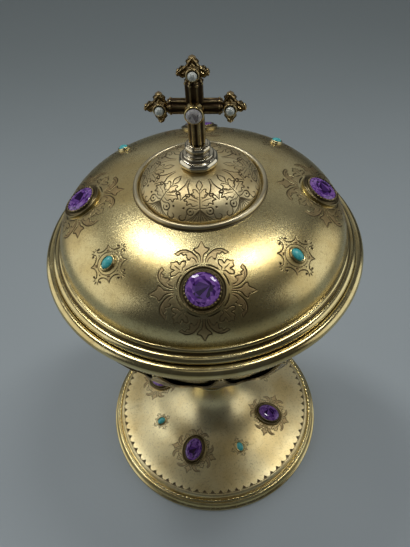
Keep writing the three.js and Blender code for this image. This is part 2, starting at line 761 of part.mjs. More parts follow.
// One leaf of a fleuron, pointing along +Y from the middle of its hub
function fleuronLeaf() {
  const reach = FLEURON_REACH;
  const leaf = new THREE.Shape();
  leaf.moveTo(-0.2 * reach, 0);
  leaf.lineTo(-0.2 * reach, 0.42 * reach);
  leaf.quadraticCurveTo(-0.46 * reach, 0.52 * reach, -0.36 * reach, 0.78 * reach);
  leaf.lineTo(-0.17 * reach, 0.74 * reach);
  leaf.lineTo(0, reach);
  leaf.lineTo(0.17 * reach, 0.74 * reach);
  leaf.lineTo(0.36 * reach, 0.78 * reach);
  leaf.quadraticCurveTo(0.46 * reach, 0.52 * reach, 0.2 * reach, 0.42 * reach);
  leaf.lineTo(0.2 * reach, 0);
  const bevel = FLEURON_THICKNESS * 0.2;
  return new THREE.ExtrudeGeometry(leaf, {
    depth: FLEURON_THICKNESS * 0.8 - 2 * bevel,
    bevelEnabled: true,
    bevelThickness: bevel,
    bevelSize: bevel * 0.5,
    bevelOffset: -bevel * 0.5,
    bevelSegments: 1,
    curveSegments: 1,
  }).translate(0, 0, bevel - FLEURON_THICKNESS * 0.4);
}

// Three leaves round a hub, with the pearl's cup on its face. Local +Z is the face, +Y points outwards.
function fleuron() {
  const leaves = [-90, 0, 90].map((turn) => fleuronLeaf().rotateZ(THREE.MathUtils.degToRad(turn)));
  const face = FLEURON_THICKNESS / 2;
  const cupRadius = PEARL_RADIUS + SEAT_GAP + PEARL_CUP_WALL;
  const hub = turned(
    [
      [0, -face],
      [FLEURON_HUB * 0.8, -face],
      [FLEURON_HUB, -face + CHAMFER],
      [FLEURON_HUB, face - CHAMFER],
      [cupRadius, face],
      [cupRadius, face + PEARL_RADIUS],
      [cupRadius - PEARL_CUP_WALL, face + PEARL_RADIUS],
      [cupRadius - PEARL_CUP_WALL, face],
      [0, face],
    ],
    STONE_SIDES,
  );
  return joined(hub, ...leaves);
}

const pearlHeight = FLEURON_THICKNESS / 2 + SEAT_GAP + PEARL_RADIUS;

// Stones and their settings

// A faceted stone: an eight-sided table, a twelve-sided girdle and a small flat culet
function facetedStone(halfLength, halfWidth, bottom, crown, pavilion) {
  const ring = (sides, share, z, turn) =>
    Array.from({ length: sides }, (_, i) => {
      const a = ((i + turn) / sides) * 2 * Math.PI;
      return new THREE.Vector3(halfLength * share * Math.cos(a), halfWidth * share * Math.sin(a), z);
    });
  const girdle = bottom + pavilion;
  return new ConvexGeometry([
    ...ring(8, 0.35, bottom, 0.5),
    ...ring(STONE_SIDES, 1, girdle, 0),
    ...ring(8, 0.8, girdle + crown * 0.62, 0),
    ...ring(8, 0.56, girdle + crown, 0.5),
  ]);
}

const AMETHYST_PAVILION = 0.5;
const AMETHYST_CROWN = 0.8;
const COLLET_FLOOR = 0.6;
const STONE_SEAT = COLLET_FLOOR + SEAT_GAP;

function amethystCollet(halfLength, halfWidth, seatCutter, seat) {
  const inner = 1;
  const wall = COLLET_WALL / halfWidth;
  const flange = COLLET_FLANGE / halfWidth;
  const gap = SEAT_GAP / halfWidth;
  const edge = inner + gap + wall + flange;
  const foot = -COLLET_FOOT;
  const cup = turned(
    [
      [0, foot],
      [edge, foot],
      [edge, COLLET_BEAD],
      [edge - flange * 0.25, 2 * COLLET_BEAD],
      [edge - flange * 0.5, COLLET_BEAD],
      [inner + gap + wall * 1.6, COLLET_BEAD],
      [inner + gap + wall, COLLET_HEIGHT],
      [inner + gap, COLLET_HEIGHT],
      [inner + gap, COLLET_FLOOR],
      [0, COLLET_FLOOR],
    ],
    STONE_SIDES,
  ).rotateZ(Math.PI / 2);
  cup.scale(halfLength, halfWidth, 1);
  return cut(cup, seatCutter.clone().applyMatrix4(seat.clone().invert()));
}

// A smooth stone with a short upright edge under its dome
function cabochon(halfLength, halfWidth, rise) {
  const edge = rise * 0.25;
  const raised = ([r, z]) => [Math.abs(r) < 1e-9 ? 0 : r, edge + z * (rise - edge)];
  const dome = turned(
    [[0, 0], ...arc(0, 0, 1, 0, 90, 3).map(raised)],
    BEZEL_SIDES,
  );
  return dome.scale(halfLength, halfWidth, 1);
}

function turquoiseBezel() {
  const gap = SEAT_GAP / TURQUOISE_WIDTH;
  const strip = BEZEL_STRIP / TURQUOISE_WIDTH;
  const tube = turned(
    [
      [1 + gap, -LID_WALL * 0.8],
      [1 + gap + strip, -LID_WALL * 0.8],
      [1 + gap + strip * 0.6, TURQUOISE_BEZEL_HEIGHT],
      [1 + gap, TURQUOISE_BEZEL_HEIGHT],
    ],
    BEZEL_SIDES,
  );
  return tube.scale(TURQUOISE_LENGTH, TURQUOISE_WIDTH, 1);
}

// Places something on a turned surface with its local +Z along the surface's normal and +X downhill
function seatOn(surface, radius, degrees) {
  const step = 0.5;
  const slope = (surface(radius - step) - surface(radius + step)) / (2 * step);
  const matrix = new THREE.Matrix4().makeRotationZ(THREE.MathUtils.degToRad(degrees));
  matrix.multiply(new THREE.Matrix4().makeTranslation(radius, 0, surface(radius)));
  matrix.multiply(new THREE.Matrix4().makeRotationY(Math.atan(slope)));
  return matrix;
}

function facet(name, geometry, material) {
  const mesh = new THREE.Mesh(geometry, material);
  mesh.name = name;
  return mesh;
}

const CUTTER_DEPTH = 3;

// The solid that a surface and everything under it fills, grown by the seat's gap
function seatCutter(line, floor) {
  const raised = line.map(([r, z]) => [r, z + SEAT_GAP]);
  return turned([[0, floor], [line[0][0], floor], ...raised, [0, raised.at(-1)[1]]], LARGE_SIDES);
}

function placeStones(group, side, surface, ring, cutter, halfLength, halfWidth, lift) {
  const up = new THREE.Matrix4().makeTranslation(0, 0, lift);
  const collet = amethystCollet(halfLength, halfWidth, cutter, seatOn(surface, ring, 0).multiply(up));
  const stone = facetedStone(halfLength, halfWidth, STONE_SEAT, AMETHYST_CROWN, AMETHYST_PAVILION);
  const bead = cabochon(TURQUOISE_LENGTH, TURQUOISE_WIDTH, TURQUOISE_RISE);
  for (let i = 0; i < 4; i++) {
    const holder = new THREE.Group();
    holder.applyMatrix4(seatOn(surface, ring, -90 + 90 * i).multiply(up));
    holder.add(facet(`${side}_amethyst_collet_${i + 1}`, collet, polishedGilt));
    holder.add(facet(`${side}_amethyst_${i + 1}`, stone, amethyst));
    group.add(holder);
    const small = new THREE.Group();
    small.applyMatrix4(seatOn(surface, ring, -45 + 90 * i));
    const set = facet(`${side}_turquoise_${i + 1}`, bead, turquoise);
    set.position.z = SEAT_GAP;
    small.add(set);
    group.add(small);
  }
}

// A shell with the four turquoise bezels soldered to it
function withBezels(shell, surface, ring) {
  const seats = [-45, 45, 135, 225].map((degrees) => seatOn(surface, ring, degrees));
  const bezels = seats.map((seat) => turquoiseBezel().applyMatrix4(seat));
  return joined(shell, ...bezels);
}

function buildCup() {
  const cup = new THREE.Group();
  cup.rotation.z = THREE.MathUtils.degToRad(FOOT_TURN);
  const footShell = withBezels(footDome(), footSurface, footStoneRing);
  const nutTop = footDomeTop - NECK_PLATE - WASHER_HEIGHT;
  cup.add(
    facet("foot_base_ring", footBaseRing(), polishedGilt),
    facet("foot_dome", footShell, gilt),
    facet("foot_border", footBorder(), polishedGilt),
    facet("foot_collar", footCollar(), polishedGilt),
    facet("lower_stem", spool(footCollarTop, lowerStemTop), gilt),
    facet("lower_knop_ring", knopRing(lowerStemTop), polishedGilt),
    facet("knop", knop(), gilt),
    facet("upper_knop_ring", knopRing(knopTop), polishedGilt),
    facet("upper_stem", spool(upperKnopRingTop, upperStemTop), gilt),
    facet("bowl_socket", bowlSocket(), polishedGilt),
    facet("tie_rod", tieRod(), steel),
    facet("foot_washer", footWasher(), steel),
    facet("foot_nut", hexNut(nutTop, NUT_HEIGHT, NUT_RADIUS, boreRadius), steel),
    facet("bowl", bowlDish(), gilt),
    facet("bowl_wall", bowlWall(), gilt),
    facet("cup_lip", cupLip(), polishedGilt),
    facet("calyx", calyx(), agedGilt),
  );
  const cutter = seatCutter(footLine(FOOT_CURVE_STEPS), footRingTop - CUTTER_DEPTH);
  const [length, width] = [FOOT_AMETHYST_LENGTH, FOOT_AMETHYST_WIDTH];
  placeStones(cup, "foot", footSurface, footStoneRing, cutter, length, width, FOOT_COLLET_LIFT);
  return cup;
}

function buildCross() {
  const group = new THREE.Group();
  group.rotation.z = THREE.MathUtils.degToRad(CROSS_TURN);
  group.add(facet("cross", cross(), agedGilt));
  const shape = fleuron();
  const bead = new THREE.SphereGeometry(PEARL_RADIUS, 12, 8);
  const ends = [
    ["top", 0, TOP_ARM],
    ["left", 90, SIDE_ARM],
    ["right", -90, SIDE_ARM],
  ];
  for (const [name, turn, reach] of ends) {
    const end = new THREE.Group();
    end.rotation.z = THREE.MathUtils.degToRad(turn);
    const head = facet(`${name}_fleuron`, shape, agedGilt);
    const set = facet(`${name}_pearl`, bead, pearl);
    head.position.y = reach;
    set.position.set(0, reach, pearlHeight);
    end.add(head, set);
    const standing = new THREE.Group();
    standing.rotation.x = Math.PI / 2;
    standing.position.z = crossMiddle;
    standing.add(end);
    group.add(standing);
  }
  const setting = new THREE.Group();
  setting.rotation.x = Math.PI / 2;
  setting.position.set(0, -SHAFT_WIDTH / 2 - SEAT_GAP, crossMiddle);
  const outer = CROSS_STONE_RADIUS + SEAT_GAP + COLLET_WALL;
  const floor = CROSS_COLLET_HEIGHT - CROSS_COLLET_DEPTH;
  const collet = turned(
    [
      [0, 0],
      [outer, 0],
      [outer, CROSS_COLLET_HEIGHT],
      [outer - COLLET_WALL, CROSS_COLLET_HEIGHT],
      [outer - COLLET_WALL, floor],
      [0, floor],
    ],
    STONE_SIDES,
  ).rotateZ(Math.PI / 2);
  const size = CROSS_STONE_RADIUS;
  const brilliant = facetedStone(size, size, floor + SEAT_GAP, CROSS_STONE_CROWN, CROSS_STONE_PAVILION);
  setting.add(facet("cross_collet", collet, polishedGilt), facet("cross_crystal", brilliant, crystal));
  group.add(setting);
  return group;
}

function buildLid() {
  const lid = new THREE.Group();
  lid.position.z = LID_LIFT;
  lid.add(
    facet("lid_dome", withBezels(lidDome(), lidSurface, lidStoneRing), gilt),
    facet("lid_rim", lidRim(), polishedGilt),
    facet("lid_bezel", lidBezel(), polishedGilt),
    facet("boss", boss(), gilt),
    facet("boss_ring", bossRing(), polishedGilt),
    facet("finial_base", finialBase(), polishedGilt),
    facet("finial_stud", finialStud(), steel),
    facet("finial_nut", finialNut(), steel),
    buildCross(),
  );
  const cutter = seatCutter(lidDomeLine(), lidDomeSeat - CUTTER_DEPTH);
  placeStones(lid, "lid", lidSurface, lidStoneRing, cutter, AMETHYST_RADIUS, AMETHYST_RADIUS, 0);
  return lid;
}

const ciborium = new THREE.Group();
ciborium.add(buildCup(), buildLid());

export default ciborium;
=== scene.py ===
# %% [markdown]
# # A jewelled ciborium in silver-gilt
#
# A ciborium is a covered cup on a foot, made by a goldsmith from turned, raised and cast pieces that are
# soldered or screwed together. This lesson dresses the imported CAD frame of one: turned mouldings, engraved
# domes, a calyx of leaves, a cross with cast leaf ends, and set stones. Every piece sits where the frame
# says, so each size is read from the frame or written once below, in millimetres.

# %% Load the frame
import math

import bmesh
import bpy
import numpy as np
from mathutils import Matrix, Vector


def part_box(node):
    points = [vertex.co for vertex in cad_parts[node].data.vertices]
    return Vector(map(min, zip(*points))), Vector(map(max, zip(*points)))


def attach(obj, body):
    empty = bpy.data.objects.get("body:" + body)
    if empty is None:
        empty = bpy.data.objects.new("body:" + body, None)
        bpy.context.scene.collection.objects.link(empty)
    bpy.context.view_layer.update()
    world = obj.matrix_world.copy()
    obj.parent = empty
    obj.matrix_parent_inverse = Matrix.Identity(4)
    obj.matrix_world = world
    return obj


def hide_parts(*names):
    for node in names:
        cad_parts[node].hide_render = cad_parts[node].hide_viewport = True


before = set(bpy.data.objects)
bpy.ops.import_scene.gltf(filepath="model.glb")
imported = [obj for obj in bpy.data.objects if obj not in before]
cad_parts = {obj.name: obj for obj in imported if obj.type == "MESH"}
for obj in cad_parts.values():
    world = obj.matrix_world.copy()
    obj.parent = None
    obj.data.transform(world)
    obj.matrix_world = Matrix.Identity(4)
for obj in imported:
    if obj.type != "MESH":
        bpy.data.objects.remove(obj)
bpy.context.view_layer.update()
MM = 0.001

# %% [markdown]
# The frame gives each piece's box. Three short helpers read the height and the radius of a turned piece from
# it, so that the fine surfaces made here follow the CAD pieces if a size changes there.

# %% Sizes from the frame


def low(node):
    """Height of a CAD piece's underside, in millimetres."""
    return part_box(node)[0].z / MM


def high(node):
    """Height of a CAD piece's top, in millimetres."""
    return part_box(node)[1].z / MM


def reach(node):
    """Half the width of a CAD piece along X, in millimetres."""
    return (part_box(node)[1].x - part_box(node)[0].x) / 2 / MM


FOOT_TURN = math.radians(-20.6)  # the foot's stones stand round from the lid's by this much
CALYX_TURN = FOOT_TURN + math.radians(2.6)
CROSS_TURN = -4.5  # degrees by which the cross is turned from facing -Y
BORE = 3.3  # radius of the hole that the tie rod goes through
STUD_BORE = 1.9
SEAT_GAP = 0.3
RIM = reach("lid_rim")
LID_SEAT = low("lid_dome")
print(f"height {high('top_fleuron'):.1f} mm, rim radius {RIM:.1f} mm, dome seat at {LID_SEAT:.1f} mm")

# %% [markdown]
# The camera looks down on the cup from close by, so its place decides the whole shape of the picture. It was
# fitted to the rings of the lid and the foot: a few centimetres beyond the rim, and 50 degrees down. A vector
# for where it looks and one for its right side give its axes.

# %% Camera
IMAGE = (410, 547)
FOCAL_PIXELS = 500.0
LID_PHASE = math.radians(1.8)  # how far the lid is turned from the line of sight
CAMERA_PLACE = Vector((-0.345, -145.6, 310.7))
CAMERA_PITCH = 0.873
CAMERA_ROLL = -0.065

forward = Vector((0, math.cos(CAMERA_PITCH), -math.sin(CAMERA_PITCH)))
level_right = Vector((1, 0, 0))
level_up = level_right.cross(forward)
right = level_right * math.cos(CAMERA_ROLL) + level_up * math.sin(CAMERA_ROLL)
up = level_up * math.cos(CAMERA_ROLL) - level_right * math.sin(CAMERA_ROLL)
axes = Matrix((right, up, -forward)).transposed().to_4x4()
turn = Matrix.Rotation(LID_PHASE, 4, "Z")
camera = bpy.data.objects.new("camera", bpy.data.cameras.new("camera"))
camera.data.sensor_width = 36
camera.data.lens = camera.data.sensor_width * FOCAL_PIXELS / max(IMAGE)
camera.data.clip_start = 0.005
camera.matrix_world = turn @ Matrix.Translation(CAMERA_PLACE * MM) @ axes
bpy.context.scene.collection.objects.link(camera)
bpy.context.scene.camera = camera
print(f"lens {camera.data.lens:.1f} mm, camera {CAMERA_PLACE.length:.0f} mm from the foot's middle")

# %% [markdown]
# A finish is easier to read as a sum than as a web of nodes. `Wire` wraps one output of a shader node and
# lets Python's own operators add Math nodes, and `Finish` holds a material, adds any other node, and feeds
# the shader's sockets. `Finish.blend` mixes two colours, because a Math node would turn them grey.

# %% Shader values as Python values


class Wire:
    """One number that varies over a surface."""

    def __init__(self, finish, socket):
        self.finish = finish
        self.socket = socket

    def reckon(self, operation, first, second, clamp=False):
        settings = {"operation": operation, "use_clamp": clamp}
        return self.finish.node("ShaderNodeMath", settings, {0: first, 1: second})

    def __add__(self, other):
        return self.reckon("ADD", self, other)

    def __radd__(self, other):
        return self.reckon("ADD", other, self)

    def __mul__(self, other):
        return self.reckon("MULTIPLY", self, other)

    def __rmul__(self, other):
        return self.reckon("MULTIPLY", other, self)

    def kept(self):
        """The same value held between 0 and 1."""
        return self.reckon("ADD", self, 0.0, clamp=True)


class Finish:
    """A material for one of the object's finishes."""

    def __init__(self, name, **sockets):
        self.material = bpy.data.materials.new(name)
        self.material.use_nodes = True
        self.tree = self.material.node_tree
        self.shader = self.tree.nodes["Principled BSDF"]
        for socket, value in sockets.items():
            self.feed(socket.replace("_", " "), value)
        self.place = self.node("ShaderNodeTexCoord", output="Object")

    def node(self, kind, settings=None, sockets=None, output=0):
        made = self.tree.nodes.new(kind)
        for name, value in (settings or {}).items():
            setattr(made, name, value)
        for name, value in (sockets or {}).items():
            self.join(made.inputs[name], value)
        return Wire(self, made.outputs[output])

    def join(self, socket, value):
        if isinstance(value, Wire):
            self.tree.links.new(value.socket, socket)
        elif socket.type == "RGBA" and len(value) == 3:
            socket.default_value = (*value, 1)
        else:
            socket.default_value = value

    def feed(self, socket, value):
        self.join(self.shader.inputs[socket], value)

    def blend(self, share, first, second):
        """A colour between first and second."""
        mixed = {0: share, 6: first, 7: second}
        return self.node("ShaderNodeMix", {"data_type": "RGBA"}, mixed, output=2)

    def noise(self, size, detail=3.0, roughness=0.55, stretch=None):
        """Cloudy variation between 0 and 1, with clouds of about that size in millimetres."""
        place = self.place
        if stretch:
            place = self.node("ShaderNodeMapping", {}, {"Vector": place, "Scale": stretch})
        sockets = {"Vector": place, "Scale": 1 / (size * MM), "Detail": detail, "Roughness": roughness}
        return self.node("ShaderNodeTexNoise", {}, sockets)

    def mark(self, name):
        """A number painted on the mesh's points."""
        return self.node("ShaderNodeAttribute", {"attribute_name": name}, output="Fac")

    def steps(self, value, start, end):
        """0 where value is below start, 1 where it is above end, and smooth between."""
        sockets = {"Value": value, "From Min": start, "From Max": end}
        return self.node("ShaderNodeMapRange", {"interpolation_type": "SMOOTHSTEP"}, sockets)

    def relief(self, height, depth):
        """Raises the surface by height times a depth in millimetres."""
        bump = self.node("ShaderNodeBump", {}, {"Height": height, "Distance": depth * MM, "Strength": 1.0})
        self.feed("Normal", bump)


print("shader helpers ready")

# %% [markdown]
# The gilding on such a cup is not one colour. The satin gilt of the domes is matted with a fine grain, which
# turns a lamp's reflection into a soft patch. It is paler where hands have rubbed it, and browner where the
# gold thins over the silver and in every cut line. `groove` is painted on the meshes below: 1 at the bottom
# of a cut or a hollow. `leaf` is 1 inside an engraved leaf, which the engraver has matted with hatching.

# %% Gilt finishes
PALE_GOLD = (0.76, 0.65, 0.33)
WARM_GOLD = (0.62, 0.48, 0.20)
OLD_BROWN = (0.17, 0.10, 0.045)
ROSE_BROWN = (0.30, 0.18, 0.09)
PATINA = (0.045, 0.028, 0.014)


def satin_gilt(name="satin_gilt", roughness=0.20, light=PALE_GOLD, deep=WARM_GOLD):
    finish = Finish(name, Metallic=1.0)
    clouds = finish.noise(26, detail=4)
    stains = finish.steps(finish.noise(9, detail=6, roughness=0.7), 0.55, 0.75)
    grain = finish.noise(0.42, detail=2)
    sand = finish.noise(0.9, detail=4, roughness=0.85)
    speck = finish.steps(finish.noise(1.0, detail=4, roughness=0.85), 0.52, 0.66)
    groove = finish.mark("groove")
    leaf = finish.mark("leaf")
    colour = finish.blend(finish.steps(clouds, 0.35, 0.7), light, deep)
    colour = finish.blend(stains * 0.28, colour, OLD_BROWN)
    colour = finish.blend(speck * 0.45, colour, OLD_BROWN)
    hatch = finish.noise(0.5, detail=1, stretch=(0.45, 1.6, 1.0))
    colour = finish.blend((leaf * (0.30 + 0.35 * hatch)).kept(), colour, ROSE_BROWN)
    colour = finish.blend((groove * 0.95).kept(), colour, PATINA)
    finish.feed("Base Color", colour)
    finish.feed("Roughness", (roughness + 0.08 * clouds + 0.07 * grain + 0.10 * leaf + 0.12 * groove).kept())
    finish.relief(grain * (0.6 + leaf * 1.6) + sand * 1.5, 0.022)
    return finish


def polished_gilt(name="polished_gilt", roughness=0.15, light=PALE_GOLD, deep=WARM_GOLD):
    finish = Finish(name, Metallic=1.0)
    clouds = finish.noise(14, detail=5)
    wear = finish.steps(finish.noise(3.2, detail=6, roughness=0.75), 0.52, 0.72)
    scratches = finish.noise(0.8, detail=4, roughness=0.8, stretch=(0.35, 0.35, 3.0))
    groove = finish.mark("groove")
    colour = finish.blend(finish.steps(clouds, 0.35, 0.7), light, deep)
    colour = finish.blend(wear * 0.20, colour, OLD_BROWN)
    colour = finish.blend(finish.steps(groove, 0.15, 0.95) * 0.84, colour, PATINA)
    finish.feed("Base Color", colour)
    finish.feed("Roughness", (roughness + 0.12 * wear + 0.06 * scratches + 0.18 * groove).kept())
    finish.relief(scratches, 0.010)
    return finish


def aged_gilt():
    """The gilding of cast pieces, which keeps the most grime."""
    finish = Finish("aged_gilt", Metallic=1.0)
    clouds = finish.noise(5, detail=5)
    grime = finish.steps(finish.noise(1.6, detail=6, roughness=0.7), 0.42, 0.7)
    groove = finish.mark("groove")
    colour = finish.blend(finish.steps(clouds, 0.3, 0.7), (0.62, 0.50, 0.25), (0.45, 0.32, 0.14))
    colour = finish.blend(grime * 0.5, colour, OLD_BROWN)
    colour = finish.blend((groove * 1.1).kept(), colour, PATINA)
    finish.feed("Base Color", colour)
    finish.feed("Roughness", (0.22 + 0.16 * grime + 0.2 * groove).kept())
    finish.relief(clouds, 0.06)
    return finish


def plain_brass():
    finish = Finish("plain_brass", Metallic=1.0)
    turning = finish.noise(0.6, detail=3, stretch=(0.15, 0.15, 4.0))
    dulling = finish.noise(6, detail=5)
    colour = finish.blend(finish.steps(dulling, 0.35, 0.75), (0.60, 0.47, 0.22), (0.30, 0.21, 0.10))
    finish.feed("Base Color", colour)
    finish.feed("Roughness", (0.25 + 0.2 * dulling).kept())
    finish.relief(turning, 0.02)
    return finish


def worn_gilt():
    """Gilding rubbed pale and dull, with more dirt in its cuts."""
    finish = Finish("worn_gilt", Metallic=1.0)
    clouds = finish.noise(11, detail=5)
    rubbed = finish.steps(finish.noise(3.5, detail=6, roughness=0.7), 0.45, 0.7)
    grain = finish.noise(0.5, detail=3)
    groove = finish.mark("groove")
    leaf = finish.mark("leaf")
    colour = finish.blend(finish.steps(clouds, 0.35, 0.68), (0.80, 0.69, 0.40), (0.68, 0.54, 0.27))
    colour = finish.blend(rubbed * 0.3, colour, (0.50, 0.38, 0.20))
    colour = finish.blend((leaf * (0.10 + 0.25 * grain)).kept(), colour, ROSE_BROWN)
    colour = finish.blend((groove * 0.95).kept(), colour, PATINA)
    finish.feed("Base Color", colour)
    finish.feed("Roughness", (0.36 + 0.12 * clouds + 0.08 * rubbed + 0.1 * groove).kept())
    finish.relief(grain * (0.5 + leaf), 0.04)
    return finish


print("gilt colours from", PALE_GOLD, "to", PATINA)

# %% [markdown]
# Stones are not metal. The amethysts and the clear stone let light through their facets, and each facet is
# painted with its own tone, a painted reflection of another part of the inside, with painted glints and
# painted dark. Turquoise is waxy and mottled, and a pearl has a greenish grey body under a bright skin.

# %% Stone finishes


def clear_gem(name, light, middle, dark, tint_size, clearness):
    """A gem over bright metal, whose facets are coloured by painted reflections: light is a painted glint,
    dark is painted shade.
    """
    finish = Finish(name, Transmission_Weight=clearness, IOR=1.54)
    zones = finish.noise(tint_size, detail=2)
    # painted reflections: each facet's mark picks a painted glint, the middle colour or painted dark
    painted_reflection = finish.mark("painted_reflection")
    colour = finish.blend(finish.steps(painted_reflection + 0.3 * zones, 0.65, 1.05), middle, light)
    colour = finish.blend(finish.steps(painted_reflection + 0.2 * zones, 0.55, 0.20), colour, dark)
    finish.feed("Base Color", colour)
    finish.feed("Roughness", (0.02 + 0.05 * finish.noise(0.8)).kept())
    return finish


def turquoise_finish():
    finish = Finish("turquoise", IOR=1.61)
    mottle = finish.noise(1.3, detail=5, roughness=0.7)
    veins = finish.steps(finish.noise(0.9, detail=6, roughness=0.8), 0.62, 0.70)
    colour = finish.blend(finish.steps(mottle, 0.35, 0.65), (0.03, 0.40, 0.46), (0.12, 0.60, 0.56))
    finish.feed("Base Color", finish.blend(veins * 0.5, colour, (0.03, 0.16, 0.15)))
    finish.feed("Roughness", (0.18 + 0.2 * mottle).kept())
    finish.relief(mottle, 0.03)
    return finish


def pearl_finish():
    finish = Finish("pearl", IOR=1.6, Coat_Weight=0.8, Coat_Roughness=0.08)
    skin = finish.noise(0.9, detail=3)
    colour = finish.blend(finish.steps(skin, 0.3, 0.7), (0.44, 0.50, 0.46), (0.62, 0.63, 0.56))
    finish.feed("Base Color", colour)
    finish.feed("Roughness", (0.2 + 0.15 * skin).kept())
    finish.relief(skin, 0.03)
    return finish


WORN = worn_gilt()
# the stones' light colours are painted glints and their dark colours painted shade
AMETHYST = clear_gem("amethyst", (0.46, 0.22, 0.74), (0.17, 0.06, 0.38), (0.03, 0.006, 0.07), 3.0, 0.4)
CLEAR_STONE = clear_gem("clear_stone", (0.98, 0.97, 0.95), (0.80, 0.76, 0.78), (0.30, 0.26, 0.28), 2.0, 0.6)
BLUE_STONE = turquoise_finish()
PEARL_FINISH = pearl_finish()
SATIN = satin_gilt()
FOOT_SATIN = satin_gilt("foot_gilt", 0.28, (0.90, 0.79, 0.46), (0.74, 0.58, 0.27))
POLISHED = polished_gilt()
DULL = polished_gilt("dull_gilt", 0.24, (0.74, 0.66, 0.44), (0.58, 0.48, 0.28))
RUBBED = polished_gilt("rubbed_gilt", 0.13, (0.80, 0.74, 0.56), (0.64, 0.55, 0.37))
AGED = aged_gilt()
BRASS = plain_brass()
print("finishes:", [finish.material.name for finish in (SATIN, POLISHED, AGED, BRASS)])

# %% [markdown]
# The cup stands on a pale floor, whose colour is painted darker towards the back as shade. Two soft boxes
# overhead, one on each side, give the two patches of light that a satin dome shows. Large dim walls of light
# at the sides and the back show in its shoulders and in the rim, and a small dim card in front lifts the
# foot.
# The room around them is dark grey, and that dark between the lights is what makes metal read as metal.

# %% Floor, room and lamps
FLOOR_RADIUS = 2.5
FLOOR_SIDES = 64
LIT_NEAR_FLOOR = (0.505, 0.567, 0.595)
SHADED_FAR_FLOOR = (0.272, 0.314, 0.322)
ROOM_GREY = (0.040, 0.042, 0.045)
CUP_MIDDLE = (0, 0, 0.15)


def floor_finish():
    finish = Finish("pale_floor", Roughness=0.85)
    cloud = finish.noise(180, detail=3)
    back = finish.node("ShaderNodeSeparateXYZ", {}, {"Vector": finish.place}, output=1)
    # painted shade: the floor's colour darkens towards the back, as the light falls off
    painted_falloff = finish.steps(back + 0.06 * cloud, -0.10, 0.60)
    finish.feed("Base Color", finish.blend(painted_falloff, LIT_NEAR_FLOOR, SHADED_FAR_FLOOR))
    finish.relief(finish.noise(2.0), 0.05)
    return finish


def soft_box(name, place, width, depth, power):
    """A lamp that faces the cup, with its place and size in metres and its power in watts."""
    lamp = bpy.data.objects.new(name, bpy.data.lights.new(name, "AREA"))
    lamp.data.shape = "RECTANGLE"
    lamp.data.size = width
    lamp.data.size_y = depth
    lamp.data.energy = power
    lamp.location = place
    lamp.rotation_euler = (Vector(place) - Vector(CUP_MIDDLE)).to_track_quat("Z", "Y").to_euler()
    bpy.context.scene.collection.objects.link(lamp)


floor_mesh = bpy.data.meshes.new("floor")
floor_angles = [math.tau * i / FLOOR_SIDES for i in range(FLOOR_SIDES)]
ring = [(FLOOR_RADIUS * math.cos(a), FLOOR_RADIUS * math.sin(a), 0) for a in floor_angles]
floor_mesh.from_pydata(ring, [], [range(FLOOR_SIDES)])
floor = bpy.data.objects.new("floor", floor_mesh)
floor.data.materials.append(floor_finish().material)
bpy.context.scene.collection.objects.link(floor)

world = bpy.data.worlds.new("room")
bpy.context.scene.world = world
world.use_nodes = True
world.node_tree.nodes["Background"].inputs["Color"].default_value = (*ROOM_GREY, 1)
soft_box("left_box", (-0.225, 0.20, 0.80), 0.10, 0.24, 1.1)
soft_box("right_box", (0.235, 0.08, 0.80), 0.075, 0.26, 1.0)
soft_box("left_wall", (-1.20, 0.0, 0.56), 1.5, 1.2, 4.8)
soft_box("right_wall", (1.18, -0.05, 0.46), 1.2, 1.0, 3.1)
soft_box("back_wall", (0.0, 1.30, 0.85), 2.2, 1.0, 1.7)
soft_box("front_card", (0.0, -0.34, 0.96), 0.34, 0.24, 0.09)
bpy.context.scene.view_settings.view_transform = "Standard"

# %% [markdown]
# Most of a goldsmith's mouldings are turned: a profile spun about the axis. Blender's Spin and Screw would do
# it, but plain arrays are quicker and let a profile carry marks. A profile here is a list of corners, each
# with a length by which it is rounded off, mixed with round beads. Its hollows are found from how sharply it
# turns inwards, and are painted as `groove`, because that is where polish never reaches and patina stays.

# %% Turned pieces


def bead(radius, height, size, start, end, steps=12):
    """A round stretch of a profile, between two angles in degrees."""
    angles = np.radians(np.linspace(start, end, steps))
    return [(radius + size * math.cos(a), height + size * math.sin(a), 0) for a in angles]


def softened(corners, steps=5):
    """The profile with each corner rounded off by the length in its third number."""
    line = []
    for i, (r, z, soft) in enumerate(corners):
        here = np.array((r, z))
        if not soft:
            line.append(here)
            continue
        ends = []
        for other in (corners[i - 1], corners[(i + 1) % len(corners)]):
            way = np.array(other[:2]) - here
            ends.append(here + way * min(soft / np.linalg.norm(way), 0.5))
        for t in np.linspace(0, 1, steps):
            line.append((1 - t) ** 2 * ends[0] + 2 * t * (1 - t) * here + t**2 * ends[1])
    return np.array(line)


def hollows(line, spread=0.35):
    """How deep in a hollow each point of a closed profile lies, from 0 to 1."""
    along = np.roll(line, -1, axis=0) - line
    back = line - np.roll(line, 1, axis=0)
    turn = np.arctan2(back[:, 0] * along[:, 1] - back[:, 1] * along[:, 0], (back * along).sum(axis=1))
    gap = np.linalg.norm(line[:, None] - line[None], axis=2)
    return np.clip((np.exp(-((gap / spread) ** 2)) * np.clip(-turn, 0, 2)).sum(axis=1), 0, 1)


square = [(1, 0, 0.2), (2, 0, 0.2), (2, 1, 0.2), (1, 1, 0.2)]
print("a square with four soft corners has", len(softened(square)), "points")

# %% [markdown]
# Spinning gives a grid of points, one ring for each point of the profile. A shape function may then move the
# points by their bearing, which makes an eight-sided base, a milled edge or a twisted wire out of a round
# one. Every piece rides on a body, so that it moves with the lid or stays with the cup.

# %% Spinning a profile and adding a piece


